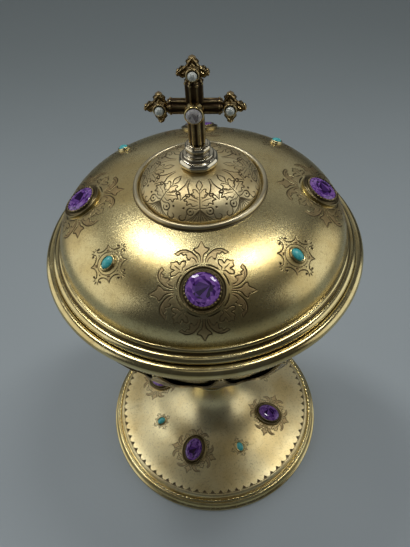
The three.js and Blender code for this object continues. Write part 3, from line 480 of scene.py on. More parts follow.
def spun(line, sides, shape=None, closed=True):
    """Points, faces and hollows of a profile turned about the axis."""
    angle = np.arange(sides) * math.tau / sides
    r = np.repeat(line[:, :1], sides, axis=1)
    z = np.repeat(line[:, 1:], sides, axis=1)
    if shape:
        r, z = shape(angle[None], r, z)
    points = np.stack([r * np.cos(angle), r * np.sin(angle), z], axis=2).reshape(-1, 3)
    row = np.arange(len(line) if closed else len(line) - 1)[:, None]
    column = np.arange(sides)[None]
    next_row = (row + 1) % len(line)
    next_column = (column + 1) % sides
    corners = [
        row * sides + column,
        row * sides + next_column,
        next_row * sides + next_column,
        next_row * sides + column,
    ]
    faces = np.stack(corners, axis=2).reshape(-1, 4)
    return points, faces, np.repeat(hollows(line), sides)


def triangles(faces):
    """Faces with four corners, each split into two with three."""
    return np.vstack([faces[:, [0, 1, 2]], faces[:, [0, 2, 3]]])


def add_piece(name, points, faces, finish, body, stands_for, marks=None, crease=38):
    """Makes a mesh object of points in millimetres, which rides on a body and stands for CAD nodes."""
    mesh = bpy.data.meshes.new(name)
    mesh.vertices.add(len(points))
    mesh.vertices.foreach_set("co", (np.asarray(points, dtype=np.float64) * MM).ravel())
    corners = faces.shape[1]
    mesh.loops.add(faces.size)
    mesh.loops.foreach_set("vertex_index", faces.astype(np.int32).ravel())
    mesh.polygons.add(len(faces))
    mesh.polygons.foreach_set("loop_start", np.arange(0, faces.size, corners, dtype=np.int32))
    mesh.update(calc_edges=True)
    marks = {"groove": np.zeros(len(points)), "leaf": np.zeros(len(points)), **(marks or {})}
    for mark, values in marks.items():
        layer = mesh.attributes.new(mark, "FLOAT", "FACE" if mark == "painted_reflection" else "POINT")
        layer.data.foreach_set("value", np.asarray(values, dtype=np.float32))
    mesh.validate()
    mesh.materials.append(finish.material)
    mesh.shade_smooth()
    mesh.set_sharp_from_angle(angle=math.radians(crease))
    piece = bpy.data.objects.new(name, mesh)
    bpy.context.scene.collection.objects.link(piece)
    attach(piece, body)
    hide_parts(*([stands_for] if isinstance(stands_for, str) else stands_for))
    return piece


def turned_piece(name, corners, finish, body, slot, node, sides=192, shape=None, steps=5, age=0.0):
    """Spins a profile into a piece that stands for a CAD node. Age adds patina all over."""
    points, faces, groove = spun(softened(corners, steps), sides, shape)
    marks = {"groove": np.clip(groove + age, 0, 1)}
    add_piece(name, points, faces, finish, body, node, marks)


print("turning helpers ready")

# %% [markdown]
# The lid's edge is one drawn moulding: a big roll at the rim, a step, a broad rounded band, a sharp quirk and
# a small bead that the dome sits in. The roll catches the brightest light on the whole cup. Under it, the lip
# of the bowl is a coved ledge that ends in a wire with milled edges, which shows as a row of fine ticks.

# %% Lid rim, bezel and cup lip
ROLL = 2.5
DOME_RADIUS = reach("lid_dome")
BEZEL_OUTER = reach("lid_bezel")
rim_low = low("lid_rim")
roll_height = rim_low + ROLL
rim_corners = [
    (BEZEL_OUTER - 1.0, rim_low, 0.2),
    (RIM - ROLL - 0.6, rim_low, 0.3),
    *bead(RIM - ROLL, roll_height, ROLL, -70, 118, 26),
    (61.25, roll_height + 2.55, 0.15),
    (61.35, roll_height + 2.95, 0.1),
    *bead(59.55, roll_height + 3.05, 1.85, 8, 112, 14),
    (58.62, roll_height + 4.9, 0.1),
    (58.55, LID_SEAT - 1.5, 0.1),
    *bead(57.55, LID_SEAT - 0.95, 0.92, -35, 100, 12),
    (56.9, LID_SEAT, 0.05),
    (55.2, LID_SEAT - 0.02, 0.1),
    (55.2, LID_SEAT - 1.2, 0.1),
    (BEZEL_OUTER - 1.0, rim_low + 1.4, 0.2),
]
turned_piece("lid_rim_moulding", rim_corners, POLISHED, "lid", "polished_gilt", "lid_rim", sides=288)

bezel_low = low("lid_bezel")
bezel_corners = [
    (BEZEL_OUTER - 1.0, bezel_low, 0.3),
    (BEZEL_OUTER - 0.25, bezel_low, 0.3),
    (BEZEL_OUTER, bezel_low + 0.8, 0.3),
    (BEZEL_OUTER, rim_low - 0.02, 0),
    (BEZEL_OUTER - 1.0, rim_low - 0.02, 0),
]
turned_piece("lid_bezel_ring", bezel_corners, POLISHED, "lid", "polished_gilt", "lid_bezel")

LIP_TICKS = 360
TICK_DEPTH = 0.2
LIP_WIRE = 0.88
lip_middle = reach("cup_lip") - LIP_WIRE
lip_low = low("cup_lip")
lip_high = high("cup_lip")
lip_inner = reach("bowl_wall") + 0.15


def milled(angle, r, z):
    """Ticks cut across the wire where it stands out."""
    depth = np.clip((r - lip_middle) / 0.6, 0, 1)
    return r - TICK_DEPTH * depth * (0.5 + 0.5 * np.cos(angle * LIP_TICKS)), z


lip_corners = [
    (lip_inner, lip_low, 0),
    ((lip_inner + lip_middle) / 2, lip_low + 1.05, 0.8),
    *bead(lip_middle, lip_high - LIP_WIRE, LIP_WIRE, -90, 90, 9),
    (lip_inner, lip_high, 0),
]
turned_piece("cup_lip_wire", lip_corners, POLISHED, "cup", "polished_gilt", "cup_lip", LIP_TICKS * 4, milled)
print("rim mouldings at", round(roll_height, 1), "mm; lip from", round(lip_low, 1), "to", round(lip_high, 1))

# %% [markdown]
# An engraver draws on the metal as if it were paper. `Engraving` is that sheet of paper: lines with tapered
# ends and leaves filled with matting, drawn flat in millimetres, and repeated round the middle by turns and
# mirroring, so only one eighth of a rosette is given. It stores how far inside a cut each spot is, so that
# the same drawing can be sampled anywhere.

# %% A sheet to draw on
PAPER_STEP = 0.06
FAR = -1.0
LINE_WEIGHT = 1.3


def flowing(points, step=0.3):
    """A smooth curve through the points (Catmull-Rom)."""
    points = np.array(points, dtype=float)
    ends = np.vstack([2 * points[0] - points[1], points, 2 * points[-1] - points[-2]])
    curve = []
    for a, b, c, d in zip(ends[:-3], ends[1:-2], ends[2:-1], ends[3:]):
        count = max(2, int(np.linalg.norm(c - b) / step) + 1)
        t = np.linspace(0, 1, count, endpoint=False)[:, None]
        bend = (2 * a - 5 * b + 4 * c - d) * t**2
        curve.append(0.5 * (2 * b + (c - a) * t + bend + (3 * b - a - 3 * c + d) * t**3))
    return np.vstack([*curve, points[-1:]])


class Engraving:
    """Cut lines and matted leaves drawn on a flat square."""

    def __init__(self, half, turns=1):
        self.half = half
        count = int(2 * half / PAPER_STEP) + 1
        self.cut = np.full((count, count), FAR)
        self.leaf = np.zeros((count, count))
        self.copies = [(math.tau * k / turns, side) for k in range(turns) for side in (1, -1)]

    def repeated(self, points):
        for angle, side in self.copies:
            x, y = points[:, 0] * side, points[:, 1]
            turned = [x * math.cos(angle) - y * math.sin(angle), x * math.sin(angle) + y * math.cos(angle)]
            yield np.stack(turned, axis=1)

    def window(self, points, margin):
        """The part of the sheet round some points, and its coordinates."""
        least = (points.min(axis=0) - margin + self.half) / PAPER_STEP
        most = (points.max(axis=0) + margin + self.half) / PAPER_STEP + 1
        first, last = (np.clip(limit, 0, len(self.cut)).astype(int) for limit in (least, most))
        x, y = (np.arange(a, b) * PAPER_STEP - self.half for a, b in zip(first, last))
        return (slice(first[1], last[1]), slice(first[0], last[0])), *np.meshgrid(x, y)

    def line(self, points, width=0.34, ends=0.35):
        path = flowing(points)
        share = np.linspace(0, 1, len(path))
        half_width = LINE_WEIGHT * width / 2 * (ends + (1 - ends) * np.sin(math.pi * share) ** 0.5)
        for copy in self.repeated(path):
            for start, stop, here, there in zip(copy[:-1], copy[1:], half_width[:-1], half_width[1:]):
                part, x, y = self.window(np.array([start, stop]), -FAR)
                way = stop - start
                t = np.clip(((x - start[0]) * way[0] + (y - start[1]) * way[1]) / (way @ way), 0, 1)
                gap = np.hypot(x - start[0] - t * way[0], y - start[1] - t * way[1])
                self.cut[part] = np.maximum(self.cut[part], here + (there - here) * t - gap)

    def dot(self, x, y, radius):
        self.line([(x - radius * 0.3, y), (x + radius * 0.3, y)], 2 * radius, 1.0)

    def fill(self, points, matting=1.0):
        """Mats the inside of an outline."""
        for copy in self.repeated(np.array(points, dtype=float)):
            part, x, y = self.window(copy, 0.2)
            inside = np.zeros(x.shape, dtype=bool)
            for (ax, ay), (bx, by) in zip(copy, np.roll(copy, -1, axis=0)):
                if ay != by:
                    inside ^= ((ay > y) != (by > y)) & (x < (bx - ax) * (y - ay) / (by - ay) + ax)
            self.leaf[part] = np.maximum(self.leaf[part], inside * matting)

    def petal(self, points, width=0.34, matting=1.0):
        """A leaf with a cut outline. The points run along half of it or all round it."""
        self.line(points, width)
        self.fill(flowing(points), matting)

    def sample(self, x, y):
        column = np.clip(((x + self.half) / PAPER_STEP).round().astype(int), 0, len(self.cut) - 1)
        row = np.clip(((y + self.half) / PAPER_STEP).round().astype(int), 0, len(self.cut) - 1)
        on_sheet = (np.abs(x) < self.half) & (np.abs(y) < self.half)
        return np.where(on_sheet, self.cut[row, column], FAR), np.where(on_sheet, self.leaf[row, column], 0)


def arc(radius, start, end, count, x=0.0, y=0.0):
    """Points round a centre, by angles in radians counted from +Y towards +X."""
    return [(x + radius * math.sin(a), y + radius * math.cos(a)) for a in np.linspace(start, end, count)]


print("a sheet 10 mm wide has", len(Engraving(5).cut), "spots each way")

# %% [markdown]
# Three drawings cover the lid: a rosette of C-shaped leaves and fleurs round each large stone, a curly
# cartouche round each small one, and sprays of acanthus on the boss. The foot takes the first two again,
# smaller. Each is drawn round its own middle, at 0, 0, and its numbers are the points of its leaves and
# lines, as an engraver would prick them.

# %% The three drawings


def draw_rosette():
    """Eight C-shaped leaves, four fleurs and four ivy leaves, round a large stone."""
    sheet = Engraving(18, turns=4)
    sheet.line(arc(8.4, 0.16, 0.68, 7), 0.42, 0.6)
    fleur = [(0.42, 9.0), (0.38, 10.5), (0.8, 12.1), (1.9, 13.1)]
    fleur += [(2.45, 14.1), (1.4, 14.5), (0.95, 15.1), (0, 17.2)]
    sheet.petal(fleur, 0.36)
    sheet.fill([(0, 9.0), *fleur])
    back = [(1.0, 9.0), (1.25, 10.5), (2.4, 12.3), (4.3, 13.7), (6.4, 13.9), (8.6, 12.7)]
    belly = [(8.6, 12.7), (7.4, 12.1), (6.5, 12.8), (5.6, 12.0)]
    belly += [(4.9, 12.3), (4.5, 10.6), (3.9, 10.2), (3.3, 11.2)]
    root = [(3.3, 11.2), (2.2, 10.4), (1.6, 9.0)]
    sheet.line(back, 0.38)
    sheet.line(belly, 0.28)
    sheet.line(root, 0.28)
    sheet.fill(np.vstack([flowing(back), flowing(belly), flowing(root)]))
    sheet.dot(4.1, 10.3, 0.24)
    sheet.line([(4.0, 13.0), (5.4, 13.2), (6.9, 12.9)], 0.16)
    ivy = [(5.95, 6.4), (6.2, 7.4), (5.3, 8.4), (5.1, 9.9)]
    ivy += [(6.3, 9.8), (7.0, 8.8), (7.8, 10.0), (8.9, 9.7), (9.9, 9.9)]
    sheet.petal(ivy, 0.34, 0.5)
    sheet.fill([(6.2, 6.2), *ivy], 0.5)
    sheet.line([(6.8, 6.8), (8.7, 8.7)], 0.24)
    ground = [(1.7, 9.0), (2.3, 10.4), (3.3, 11.1), (3.9, 9.9)]
    ground += [(5.2, 8.4), (6.1, 7.3), (5.7, 6.8), (3.6, 8.3)]
    sheet.fill(ground, 0.7)
    return sheet


def draw_cartouche():
    """A curly square with a spray of three cuts at each end of its axes, round a small stone."""
    sheet = Engraving(7.6, turns=4)
    sheet.line(arc(3.3, 0, math.pi / 4, 5), 0.2, 1.0)
    curl = [(1.3, 5.5), (0.8, 5.65), (0.5, 5.1), (0.95, 4.3), (1.8, 3.75), (2.9, 3.6), (3.95, 3.95)]
    sheet.line(curl, 0.26, 0.7)
    sheet.dot(1.3, 5.4, 0.24)
    sheet.dot(0, 3.95, 0.16)
    sheet.line([(0, 5.9), (0, 6.9)], 0.28)
    sheet.line([(0.35, 5.85), (0.95, 6.45)], 0.25)
    sheet.line([(2.3, 2.9), (2.75, 2.75)], 0.3)
    sheet.fill([(2.1, 2.5), (2.6, 3.4), (3.5, 3.5), (2.5, 2.3)], 0.9)
    return sheet


def draw_acanthus(edge):
    """One of eight acanthus sprays that hang from the middle of the boss, with half a lily beside it."""
    sheet = Engraving(edge + 0.5)
    low_edge = edge - 1.3
    sheet.petal([(0, 8.8), (0.85, 10.4), (0.95, 11.6), (0, 13.4)], 0.3, 0.4)
    small = [(0.2, 14.6), (1.2, 13.0), (2.3, 12.9), (2.1, 14.0)]
    small += [(3.0, 14.6), (1.9, 15.2), (1.7, 16.2), (0.4, 16.0)]
    large = [(0.4, 16.8), (2.0, 15.9), (3.3, 14.6), (4.9, 14.6), (4.5, 15.8), (5.7, 16.6), (4.5, 17.3)]
    large += [(4.7, 18.5), (3.3, 18.2), (2.6, 19.2), (0.8, 18.8)]
    sheet.petal(small, 0.28, 0.55)
    sheet.petal(large, 0.34, 0.55)
    sheet.line([(0, 13.6), (0, 19.5), (0, low_edge)], 0.26, 0.6)
    sheet.line([(0.6, 17.8), (2.2, 17.0), (4.2, 16.2)], 0.2)
    sheet.line([(0.2, 19.9), (1.5, 20.2), (2.6, 19.8)], 0.3)
    scroll = [(3.6 + 1.25 * math.cos(a), 20.9 + 1.25 * math.sin(a)) for a in np.linspace(-2.5, 3.2, 12)]
    sheet.line(scroll, 0.4)
    sheet.dot(3.6, 20.9, 0.28)
    for spread in (0.05, 0.11, 0.17, 0.23):
        edge_place = (low_edge * math.sin(spread), low_edge * math.cos(spread))
        sheet.line([(0.25, 20.6), (0.5 * edge_place[0], 22.8), edge_place], 0.26)
    tendril = [(4.9, 21.4), (5.8, 23.2), (7.6, 23.4), (8.0, 22.0), (6.9, 21.5)]
    sheet.line(tendril, 0.34)
    sheet.fill(tendril, 0.4)
    sheet.dot(5.9, 19.4, 0.3)
    between = math.pi / 8
    lily = [(9.0, 0.35), (11.5, 0.55), (13.2, 1.2), (15.2, 2.5), (15.9, 2.3), (15.7, 1.1), (17.9, 0.0)]
    aimed = []
    for along, aside in lily:
        x = along * math.sin(between) - aside * math.cos(between)
        aimed.append((x, along * math.cos(between) + aside * math.sin(between)))
    sheet.line(aimed, 0.36)
    sheet.fill([*aimed, (9 * math.sin(between), 9 * math.cos(between))])
    return sheet


rosette = draw_rosette()
cartouche = draw_cartouche()
for title, sheet in (("rosette", rosette), ("cartouche", cartouche)):
    print(f"{title}: {(sheet.cut > 0).mean():.1%} of its sheet is cut")

# %% [markdown]
# The drawing is carried onto a dome by unrolling the dome. Every spot on it has a distance from the middle
# along the metal, and a bearing; those two are polar coordinates on a flat disc.

# %% Unrolling a dome


class Skin:
    """The outside of a turned shell from its hole to its edge, which can be unrolled flat."""

    def __init__(self, r, z):
        self.r, self.z = np.asarray(r), np.asarray(z)
        self.rho = self.r[0] + np.concatenate([[0], np.cumsum(np.hypot(np.diff(self.r), np.diff(self.z)))])
        fall, out = -np.gradient(self.z, self.rho), np.gradient(self.r, self.rho)
        self.normal = np.stack([fall, out]) / np.hypot(fall, out)

    def flat_radius(self, radius):
        return float(np.interp(radius, self.r, self.rho))

    def lay(self, flat, lift):
        """Points on the shell for flat ones, raised by lift along the normal."""
        rho = np.hypot(flat[:, 0], flat[:, 1])
        r, z = (np.interp(rho, self.rho, line) for line in (self.r, self.z))
        out, rise = (np.interp(rho, self.rho, line) for line in self.normal)
        r = r + out * lift
        return np.stack([flat[:, 0] / rho * r, flat[:, 1] / rho * r, z + rise * lift], axis=1)


def sample_all(flat, skin, placed):
    """The deepest cut and the strongest matting of all ornaments at flat points."""
    cut = np.full(len(flat), FAR)
    leaf = np.zeros(len(flat))
    near = np.zeros(len(flat), dtype=bool)
    rho = np.hypot(flat[:, 0], flat[:, 1])
    around = np.arctan2(flat[:, 1], flat[:, 0])
    for sheet, radius, bearing, scale, count in placed:
        middle = skin.flat_radius(radius) if radius else 0.0
        shrink = radius / middle if radius else 1.0
        sector = math.tau / count
        off = (around - bearing + sector / 2) % sector - sector / 2
        out = rho * np.cos(off) - middle
        across = rho * np.sin(off) * shrink
        close = np.hypot(out, across) < sheet.half * scale
        deeper, matted = sheet.sample(across[close] / scale, out[close] / scale)
        cut[close] = np.maximum(cut[close], deeper * scale)
        leaf[close] = np.maximum(leaf[close], matted)
        near |= close
    return cut, leaf, near


cone = Skin([0.0, 3.0], [4.0, 0.0])
print("a cone with a radius of 3 and a height of 4 unrolls to a radius of", cone.flat_radius(3.0))

# %% [markdown]
# The mesh is made on the disc, where triangles that touch a cut are halved along their longest edge again and
# again until they are fine enough. Halving the longest edge first keeps them well shaped, and halving a
# neighbour with them leaves no cracks. Then the mesh is laid on the dome, and each cut is sunk into the metal
# as a real groove.

# %% Engraved shells
PLAIN_EDGE = 1.0
CUT_EDGE = 0.20
CUT_SLOPE = 0.75
CUT_REACH = 0.3  # a cut's walls slope down for this far, and its floor is flat


def halved(flat, faces, wanted, rounds=16):
    """Halves edges that are longer than wanted, always the longest edge of a triangle first."""
    for _ in range(rounds):
        corners = flat[faces]
        lengths = np.linalg.norm(corners - np.roll(corners, -1, axis=1), axis=2)
        faces = np.take_along_axis(faces, (lengths.argmax(axis=1)[:, None] + np.arange(3)) % 3, axis=1)
        pairs = np.sort(np.stack([faces, np.roll(faces, -1, axis=1)], axis=2), axis=2)
        keys, edge = np.unique(pairs[..., 0] * len(flat) + pairs[..., 1], return_inverse=True)
        edge = edge.reshape(-1, 3)
        start, stop = flat[keys // len(flat)], flat[keys % len(flat)]
        middle = (start + stop) / 2
        length = np.linalg.norm(stop - start, axis=1)
        split = length > wanted(middle, length)
        if not split.any():
            break
        while True:
            marks = split[edge]
            skipped = marks.any(axis=1) & ~marks[:, 0]
            if not skipped.any():
                break
            split[edge[skipped, 0]] = True
        numbers = len(flat) + np.cumsum(split) - 1
        flat = np.vstack([flat, middle[split]])
        a, b, c = faces.T
        p, q, s = numbers[edge].T
        whole, right_too, left_too = marks[:, 0], marks[:, 1], marks[:, 2]
        parts = [
            (~whole, (a, b, c)),
            (whole & ~left_too, (a, p, c)),
            (whole & left_too, (a, p, s)),
            (whole & left_too, (s, p, c)),
            (whole & ~right_too, (p, b, c)),
            (whole & right_too, (p, b, q)),
            (whole & right_too, (p, q, c)),
        ]
        faces = np.vstack([np.stack(corner, axis=1)[chosen] for chosen, corner in parts])
    return flat, faces


def engraved_shell(name, skin, under, placed, finish, body, slot, node, sides=160, spacing=1.6):
    """A shell whose outside carries ornament, closed by a plain profile under it."""
    count = int((skin.rho[-1] - skin.rho[0]) / spacing) + 1
    rho = np.linspace(skin.rho[0], skin.rho[-1], count)
    angle = np.arange(sides) * math.tau / sides
    flat = np.stack([np.outer(rho, np.cos(angle)), np.outer(rho, np.sin(angle))], axis=2).reshape(-1, 2)
    i, j = np.meshgrid(np.arange(count - 1), np.arange(sides), indexing="ij")
    first, second = i * sides + j, i * sides + (j + 1) % sides
    faces = np.concatenate(
        [
            np.stack([first, first + sides, second + sides], axis=2).reshape(-1, 3),
            np.stack([first, second + sides, second], axis=2).reshape(-1, 3),
        ]
    )

    def wanted(middle, length):
        cut, _, near = sample_all(middle, skin, placed)
        return np.where(cut > -0.45 * length - 0.02, CUT_EDGE, np.where(near, PLAIN_EDGE, np.inf))

    flat, faces = halved(flat, faces, wanted)
    cut, leaf, _ = sample_all(flat, skin, placed)
    top = skin.lay(flat, -CUT_SLOPE * np.clip(cut, 0, CUT_REACH))
    groove = np.clip((cut + 0.10) / 0.2, 0, 1)
    inner, inner_faces, _ = spun(np.array(under), sides, closed=False)
    inner_faces = triangles(inner_faces) + len(top)
    marks = {
        "groove": np.concatenate([groove, np.zeros(len(inner))]),
        "leaf": np.concatenate([leaf, np.zeros(len(inner))]),
    }
    points, faces = np.vstack([top, inner]), np.vstack([faces, inner_faces])
    piece = add_piece(name, points, faces, finish, body, node, marks, crease=70)
    print(f"{name}: {len(piece.data.polygons)} faces")


# %% [markdown]
# The lid's dome and the boss are flattened domes, which fall slowly near the middle and steeply at the edge.
# One formula gives both, with a power for how steep the edge is. Four rosettes and four cartouches go round
# the dome, and eight sprays of acanthus hang from the top of the boss.

# %% The lid's dome and the boss
DOME_FULLNESS = 2.2
LID_POWER = 0.40
BOSS_POWER = 0.55
LID_WALL = 1.0
BOSS_WALL = 0.9


def dome_line(radius, rise, power, base, hole, steps=400):
    """Radii and heights down a flattened dome, from its hole to its foot."""
    r = hole + (radius - hole) * np.sin(np.linspace(0, math.pi / 2, steps))
    return r, base + rise * np.clip(1 - (r / radius) ** DOME_FULLNESS, 0, 1) ** power


def shell_profile(outer, inner):
    """From the foot of the outside round under the edge and up the inside to the hole."""
    line = [(outer[0][-1], outer[1][-1]), *zip(inner[0][::-8], inner[1][::-8])]
    return [*line, (inner[0][0], inner[1][0]), (outer[0][0], outer[1][0])]


lid_rise = high("lid_dome") - LID_SEAT
lid_line = dome_line(DOME_RADIUS, lid_rise, LID_POWER, LID_SEAT, STUD_BORE)
lid_inside = dome_line(DOME_RADIUS - LID_WALL, lid_rise - LID_WALL, LID_POWER, LID_SEAT, STUD_BORE)
lid_skin = Skin(*lid_line)
boss_seat = low("boss")
boss_radius = reach("boss")
boss_rise = high("boss") - boss_seat
boss_line = dome_line(boss_radius, boss_rise, BOSS_POWER, boss_seat, STUD_BORE)
boss_inside = dome_line(boss_radius - BOSS_WALL, boss_rise - BOSS_WALL, BOSS_POWER, boss_seat, STUD_BORE)
boss_skin = Skin(*boss_line)

STONE_RING = 45.6
ROSETTE_SCALE = 1.045
CARTOUCHE_SCALE = 1.28
quarters = [math.radians(-90 + 90 * k) for k in range(4)]
lid_ornament = [
    (rosette, STONE_RING, quarters[0], ROSETTE_SCALE, 4),
    (cartouche, STONE_RING, quarters[0] + math.pi / 4, CARTOUCHE_SCALE, 4),
]
acanthus = draw_acanthus(boss_skin.rho[-1])
boss_ornament = [(acanthus, 0, quarters[0], 1.0, 8)]
for name, node, skin, lines, ornament, finish, sides in (
    ("lid_dome_shell", "lid_dome", lid_skin, (lid_line, lid_inside), lid_ornament, SATIN, 192),
    ("boss_shell", "boss", boss_skin, (boss_line, boss_inside), boss_ornament, WORN, 128),
):
    engraved_shell(name, skin, shell_profile(*lines), ornament, finish, "lid", "satin_gilt", node, sides)

# %% [markdown]
# The boss stands in a wire, and the finial's base is turned round and then filed to eight sides. The same
# spinning does both: a shape function moves each point in or out by its bearing, here to an octagon whose
# corners are a little rounded.

# %% Boss ring and finial base
CORNER = 0.036
BOSS_WIRE = 0.98
BOSS_WIRE_PLACE = 24.0


def from_flat(angle):
    """The angle from the middle of the nearest of eight flat sides."""
    return (angle + math.pi / 8) % (math.pi / 4) - math.pi / 8


def octagon(angle, r, z):
    """Eight flat sides with rounded corners between them, but rounder on the steps."""
    corner = CORNER * (1 - np.exp(-(1 / np.cos(from_flat(angle)) - 1) / CORNER))
    step = np.exp(-(((z - finial_height(0.52)) / 0.9) ** 2))
    return r * (1 + corner * (1 - 0.6 * step)), z


ring_seat = np.interp(BOSS_WIRE_PLACE, lid_skin.r, lid_skin.z) + 0.1
boss_ring_corners = [
    (BOSS_WIRE_PLACE - 1.2, ring_seat + 0.35, 0),
    (BOSS_WIRE_PLACE - 0.4, ring_seat - 0.1, 0),
    (BOSS_WIRE_PLACE + 1.2, ring_seat - 0.55, 0.1),
    (BOSS_WIRE_PLACE + 1.2, ring_seat + 0.1, 0.15),
    (BOSS_WIRE_PLACE + 0.95, ring_seat + 0.2, 0.1),
    *bead(BOSS_WIRE_PLACE, ring_seat + 0.85, BOSS_WIRE, -10, 165, 14),
    (BOSS_WIRE_PLACE - 1.05, ring_seat + 0.9, 0.1),
]
turned_piece("boss_wire", boss_ring_corners, DULL, "lid", "polished_gilt", "boss_ring", 160, age=0.3)

finial_low = low("finial_base")
finial_high = high("finial_base")
finial_rise = finial_high - finial_low


def finial_height(share):
    return finial_low + share * finial_rise


FINIAL_ROLL = 1.72
finial_roll = reach("finial_base") - FINIAL_ROLL - 0.03
finial_corners = [
    (STUD_BORE, finial_low, 0),
    (finial_roll - 0.3, finial_low, 0.2),
    *bead(finial_roll, finial_height(0.21), FINIAL_ROLL, -76, 78, 18),
    (finial_roll + 0.1, finial_height(0.425), 0.08),
    *bead(finial_roll - 0.35, finial_height(0.48), 0.42, -30, 100, 7),
    (finial_roll - 0.95, finial_height(0.54), 0.15),
    (3.75, finial_height(0.59), 0.3),
    (3.7, finial_height(0.66), 0.2),
    *bead(3.35, finial_height(0.82), 1.16, -62, 76, 14),
    (3.4, finial_height(0.975), 0.1),
    (2.75, finial_height(0.995), 0.1),
    (2.05, finial_height(1.0), 0.1),
    (2.05, finial_height(0.83), 0),
    (STUD_BORE, finial_height(0.83), 0),
]
turned_piece("finial_moulding", finial_corners, RUBBED, "lid", "polished_gilt", "finial_base", 192, octagon)
print("boss wire at", round(ring_seat, 1), "mm, finial", round(finial_rise, 1), "mm high")

# %% [markdown]
# A stone is set by a collet: a cup soldered on the dome, whose thin wall is rubbed over the stone's edge and
# filed to small scallops. Round it runs a moat and a raised ring, and the moat and the lip round the stone
# are painted dark as shade. Stones on the foot are oval, so the round pieces can be stretched there while
# their walls keep their thickness.

# %% Settings for the stones


def seat_on(skin, radius, bearing):
    """The axes and the place of something set on a turned surface: Z along the normal, X downhill."""
    rho = skin.flat_radius(radius)
    out, rise = (np.interp(rho, skin.rho, line) for line in skin.normal)
    local = np.array([[rise, 0, out], [0, 1, 0], [-out, 0, rise]])
    c, s = math.cos(bearing), math.sin(bearing)
    spin = np.array([[c, -s, 0], [s, c, 0], [0, 0, 1]])
    return spin @ local, spin @ (radius, 0, np.interp(radius, skin.r, skin.z))


def placed_at(points, seat):
    axes, place = seat
    return points @ axes.T + place


def oval(points, long, wide):
    """Stretches a round piece along X: inside the stone's edge by proportion, outside it by one margin."""
    radius = np.hypot(points[:, 0], points[:, 1])
    grown = np.where(radius < wide, radius * long / wide, radius + long - wide)
    return np.stack([points[:, 0] / radius * grown, points[:, 1], points[:, 2]], axis=1)


SCALLOPS = 28
SCALLOP_DEPTH = 0.30
FLANGE = 2.28
COLLET_FOOT = 1.9
MOAT_SHADE = 0.62
LIP_SHADE = 0.5


def collet(wide, long):
    edge = wide + FLANGE
    corners = [
        (0.05, -COLLET_FOOT, 0),
        (edge, -COLLET_FOOT, 0),
        (edge, 0.4, 0.1),
        *bead(edge - 0.28, 0.5, 0.27, 0, 170, 7),
        (edge - 0.65, 0.38, 0.15),
        (wide + 1.1, 0.3, 0.3),
        (wide + 0.72, 0.8, 0.2),
        (wide + 0.6, 1.45, 0.15),
        (wide + 0.42, 1.68, 0.12),
        (wide - 0.02, 1.7, 0.08),
        (wide + 0.1, 1.5, 0.05),
        (wide + 0.12, 1.1, 0.1),
        (wide - 0.4, 0.85, 0.2),
        (0.05, 0.62, 0),
    ]

    def scalloped(angle, r, z):
        lip = np.clip((z - 0.9) / 0.7, 0, 1) * (r > wide)
        wave = np.abs(np.cos(angle * SCALLOPS / 2))
        return r + 0.10 * lip * wave, z - SCALLOP_DEPTH * lip * (1 - wave)

    points, faces, groove = spun(softened(corners, 4), SCALLOPS * 6, scalloped)
    past_stone = np.hypot(points[:, 0], points[:, 1]) - wide
    # painted shade: the moat and the lip round the stone are darkened as shade, on top of the patina in
    # hollows
    moat_shade = MOAT_SHADE * np.exp(-(((past_stone - 1.7) / 1.05) ** 6)) * (points[:, 2] > -1)
    lip = LIP_SHADE * (past_stone < 0.75)
    return oval(points, long, wide), faces, np.clip(groove + moat_shade + lip, 0, 1)


def bezel(wide, long):
    corners = [
        (wide + 0.25, -0.8, 0),
        (wide + 0.95, -0.8, 0),
        (wide + 0.92, 0.15, 0.1),
        (wide + 0.75, 0.3, 0.1),
        (wide + 0.62, 0.8, 0.15),
        (wide + 0.38, 0.98, 0.1),
        (wide + 0.1, 0.9, 0.1),
        (wide + 0.15, 0.3, 0),
    ]
    points, faces, groove = spun(softened(corners, 4), 48)
    return oval(points, long, wide), faces, groove


print("a collet has", SCALLOPS, "scallops and", len(collet(3.0, 3.0)[0]), "points")

# %% [markdown]
# A cut stone is convex, so it is the hull of its corners. They lie in rings, from the small flat below to the
# table on top, and each ring is turned against the next, which gives the kite-shaped facets. Every facet gets
# a random painted reflection, lighter towards the girdle and painted dark on the table. A turquoise is not
# cut:
# it is a cabochon, a plain polished dome.

# %% Cutting the stones
chance = np.random.default_rng(7)


def hull(points):
    """The faceted solid round some points."""
    shape = bmesh.new()
    for point in points:
        shape.verts.new(point)
    made = bmesh.ops.convex_hull(shape, input=shape.verts)
    spare = [item for item in made["geom_interior"] if isinstance(item, bmesh.types.BMVert)]
    bmesh.ops.delete(shape, geom=spare, context="VERTS")
    bmesh.ops.recalc_face_normals(shape, faces=shape.faces)
    shape.verts.ensure_lookup_table()
    shape.verts.index_update()
    corners = np.array([vert.co[:] for vert in shape.verts])
    faces = np.array([[vert.index for vert in face.verts] for face in shape.faces])
    shape.free()
    return corners, faces


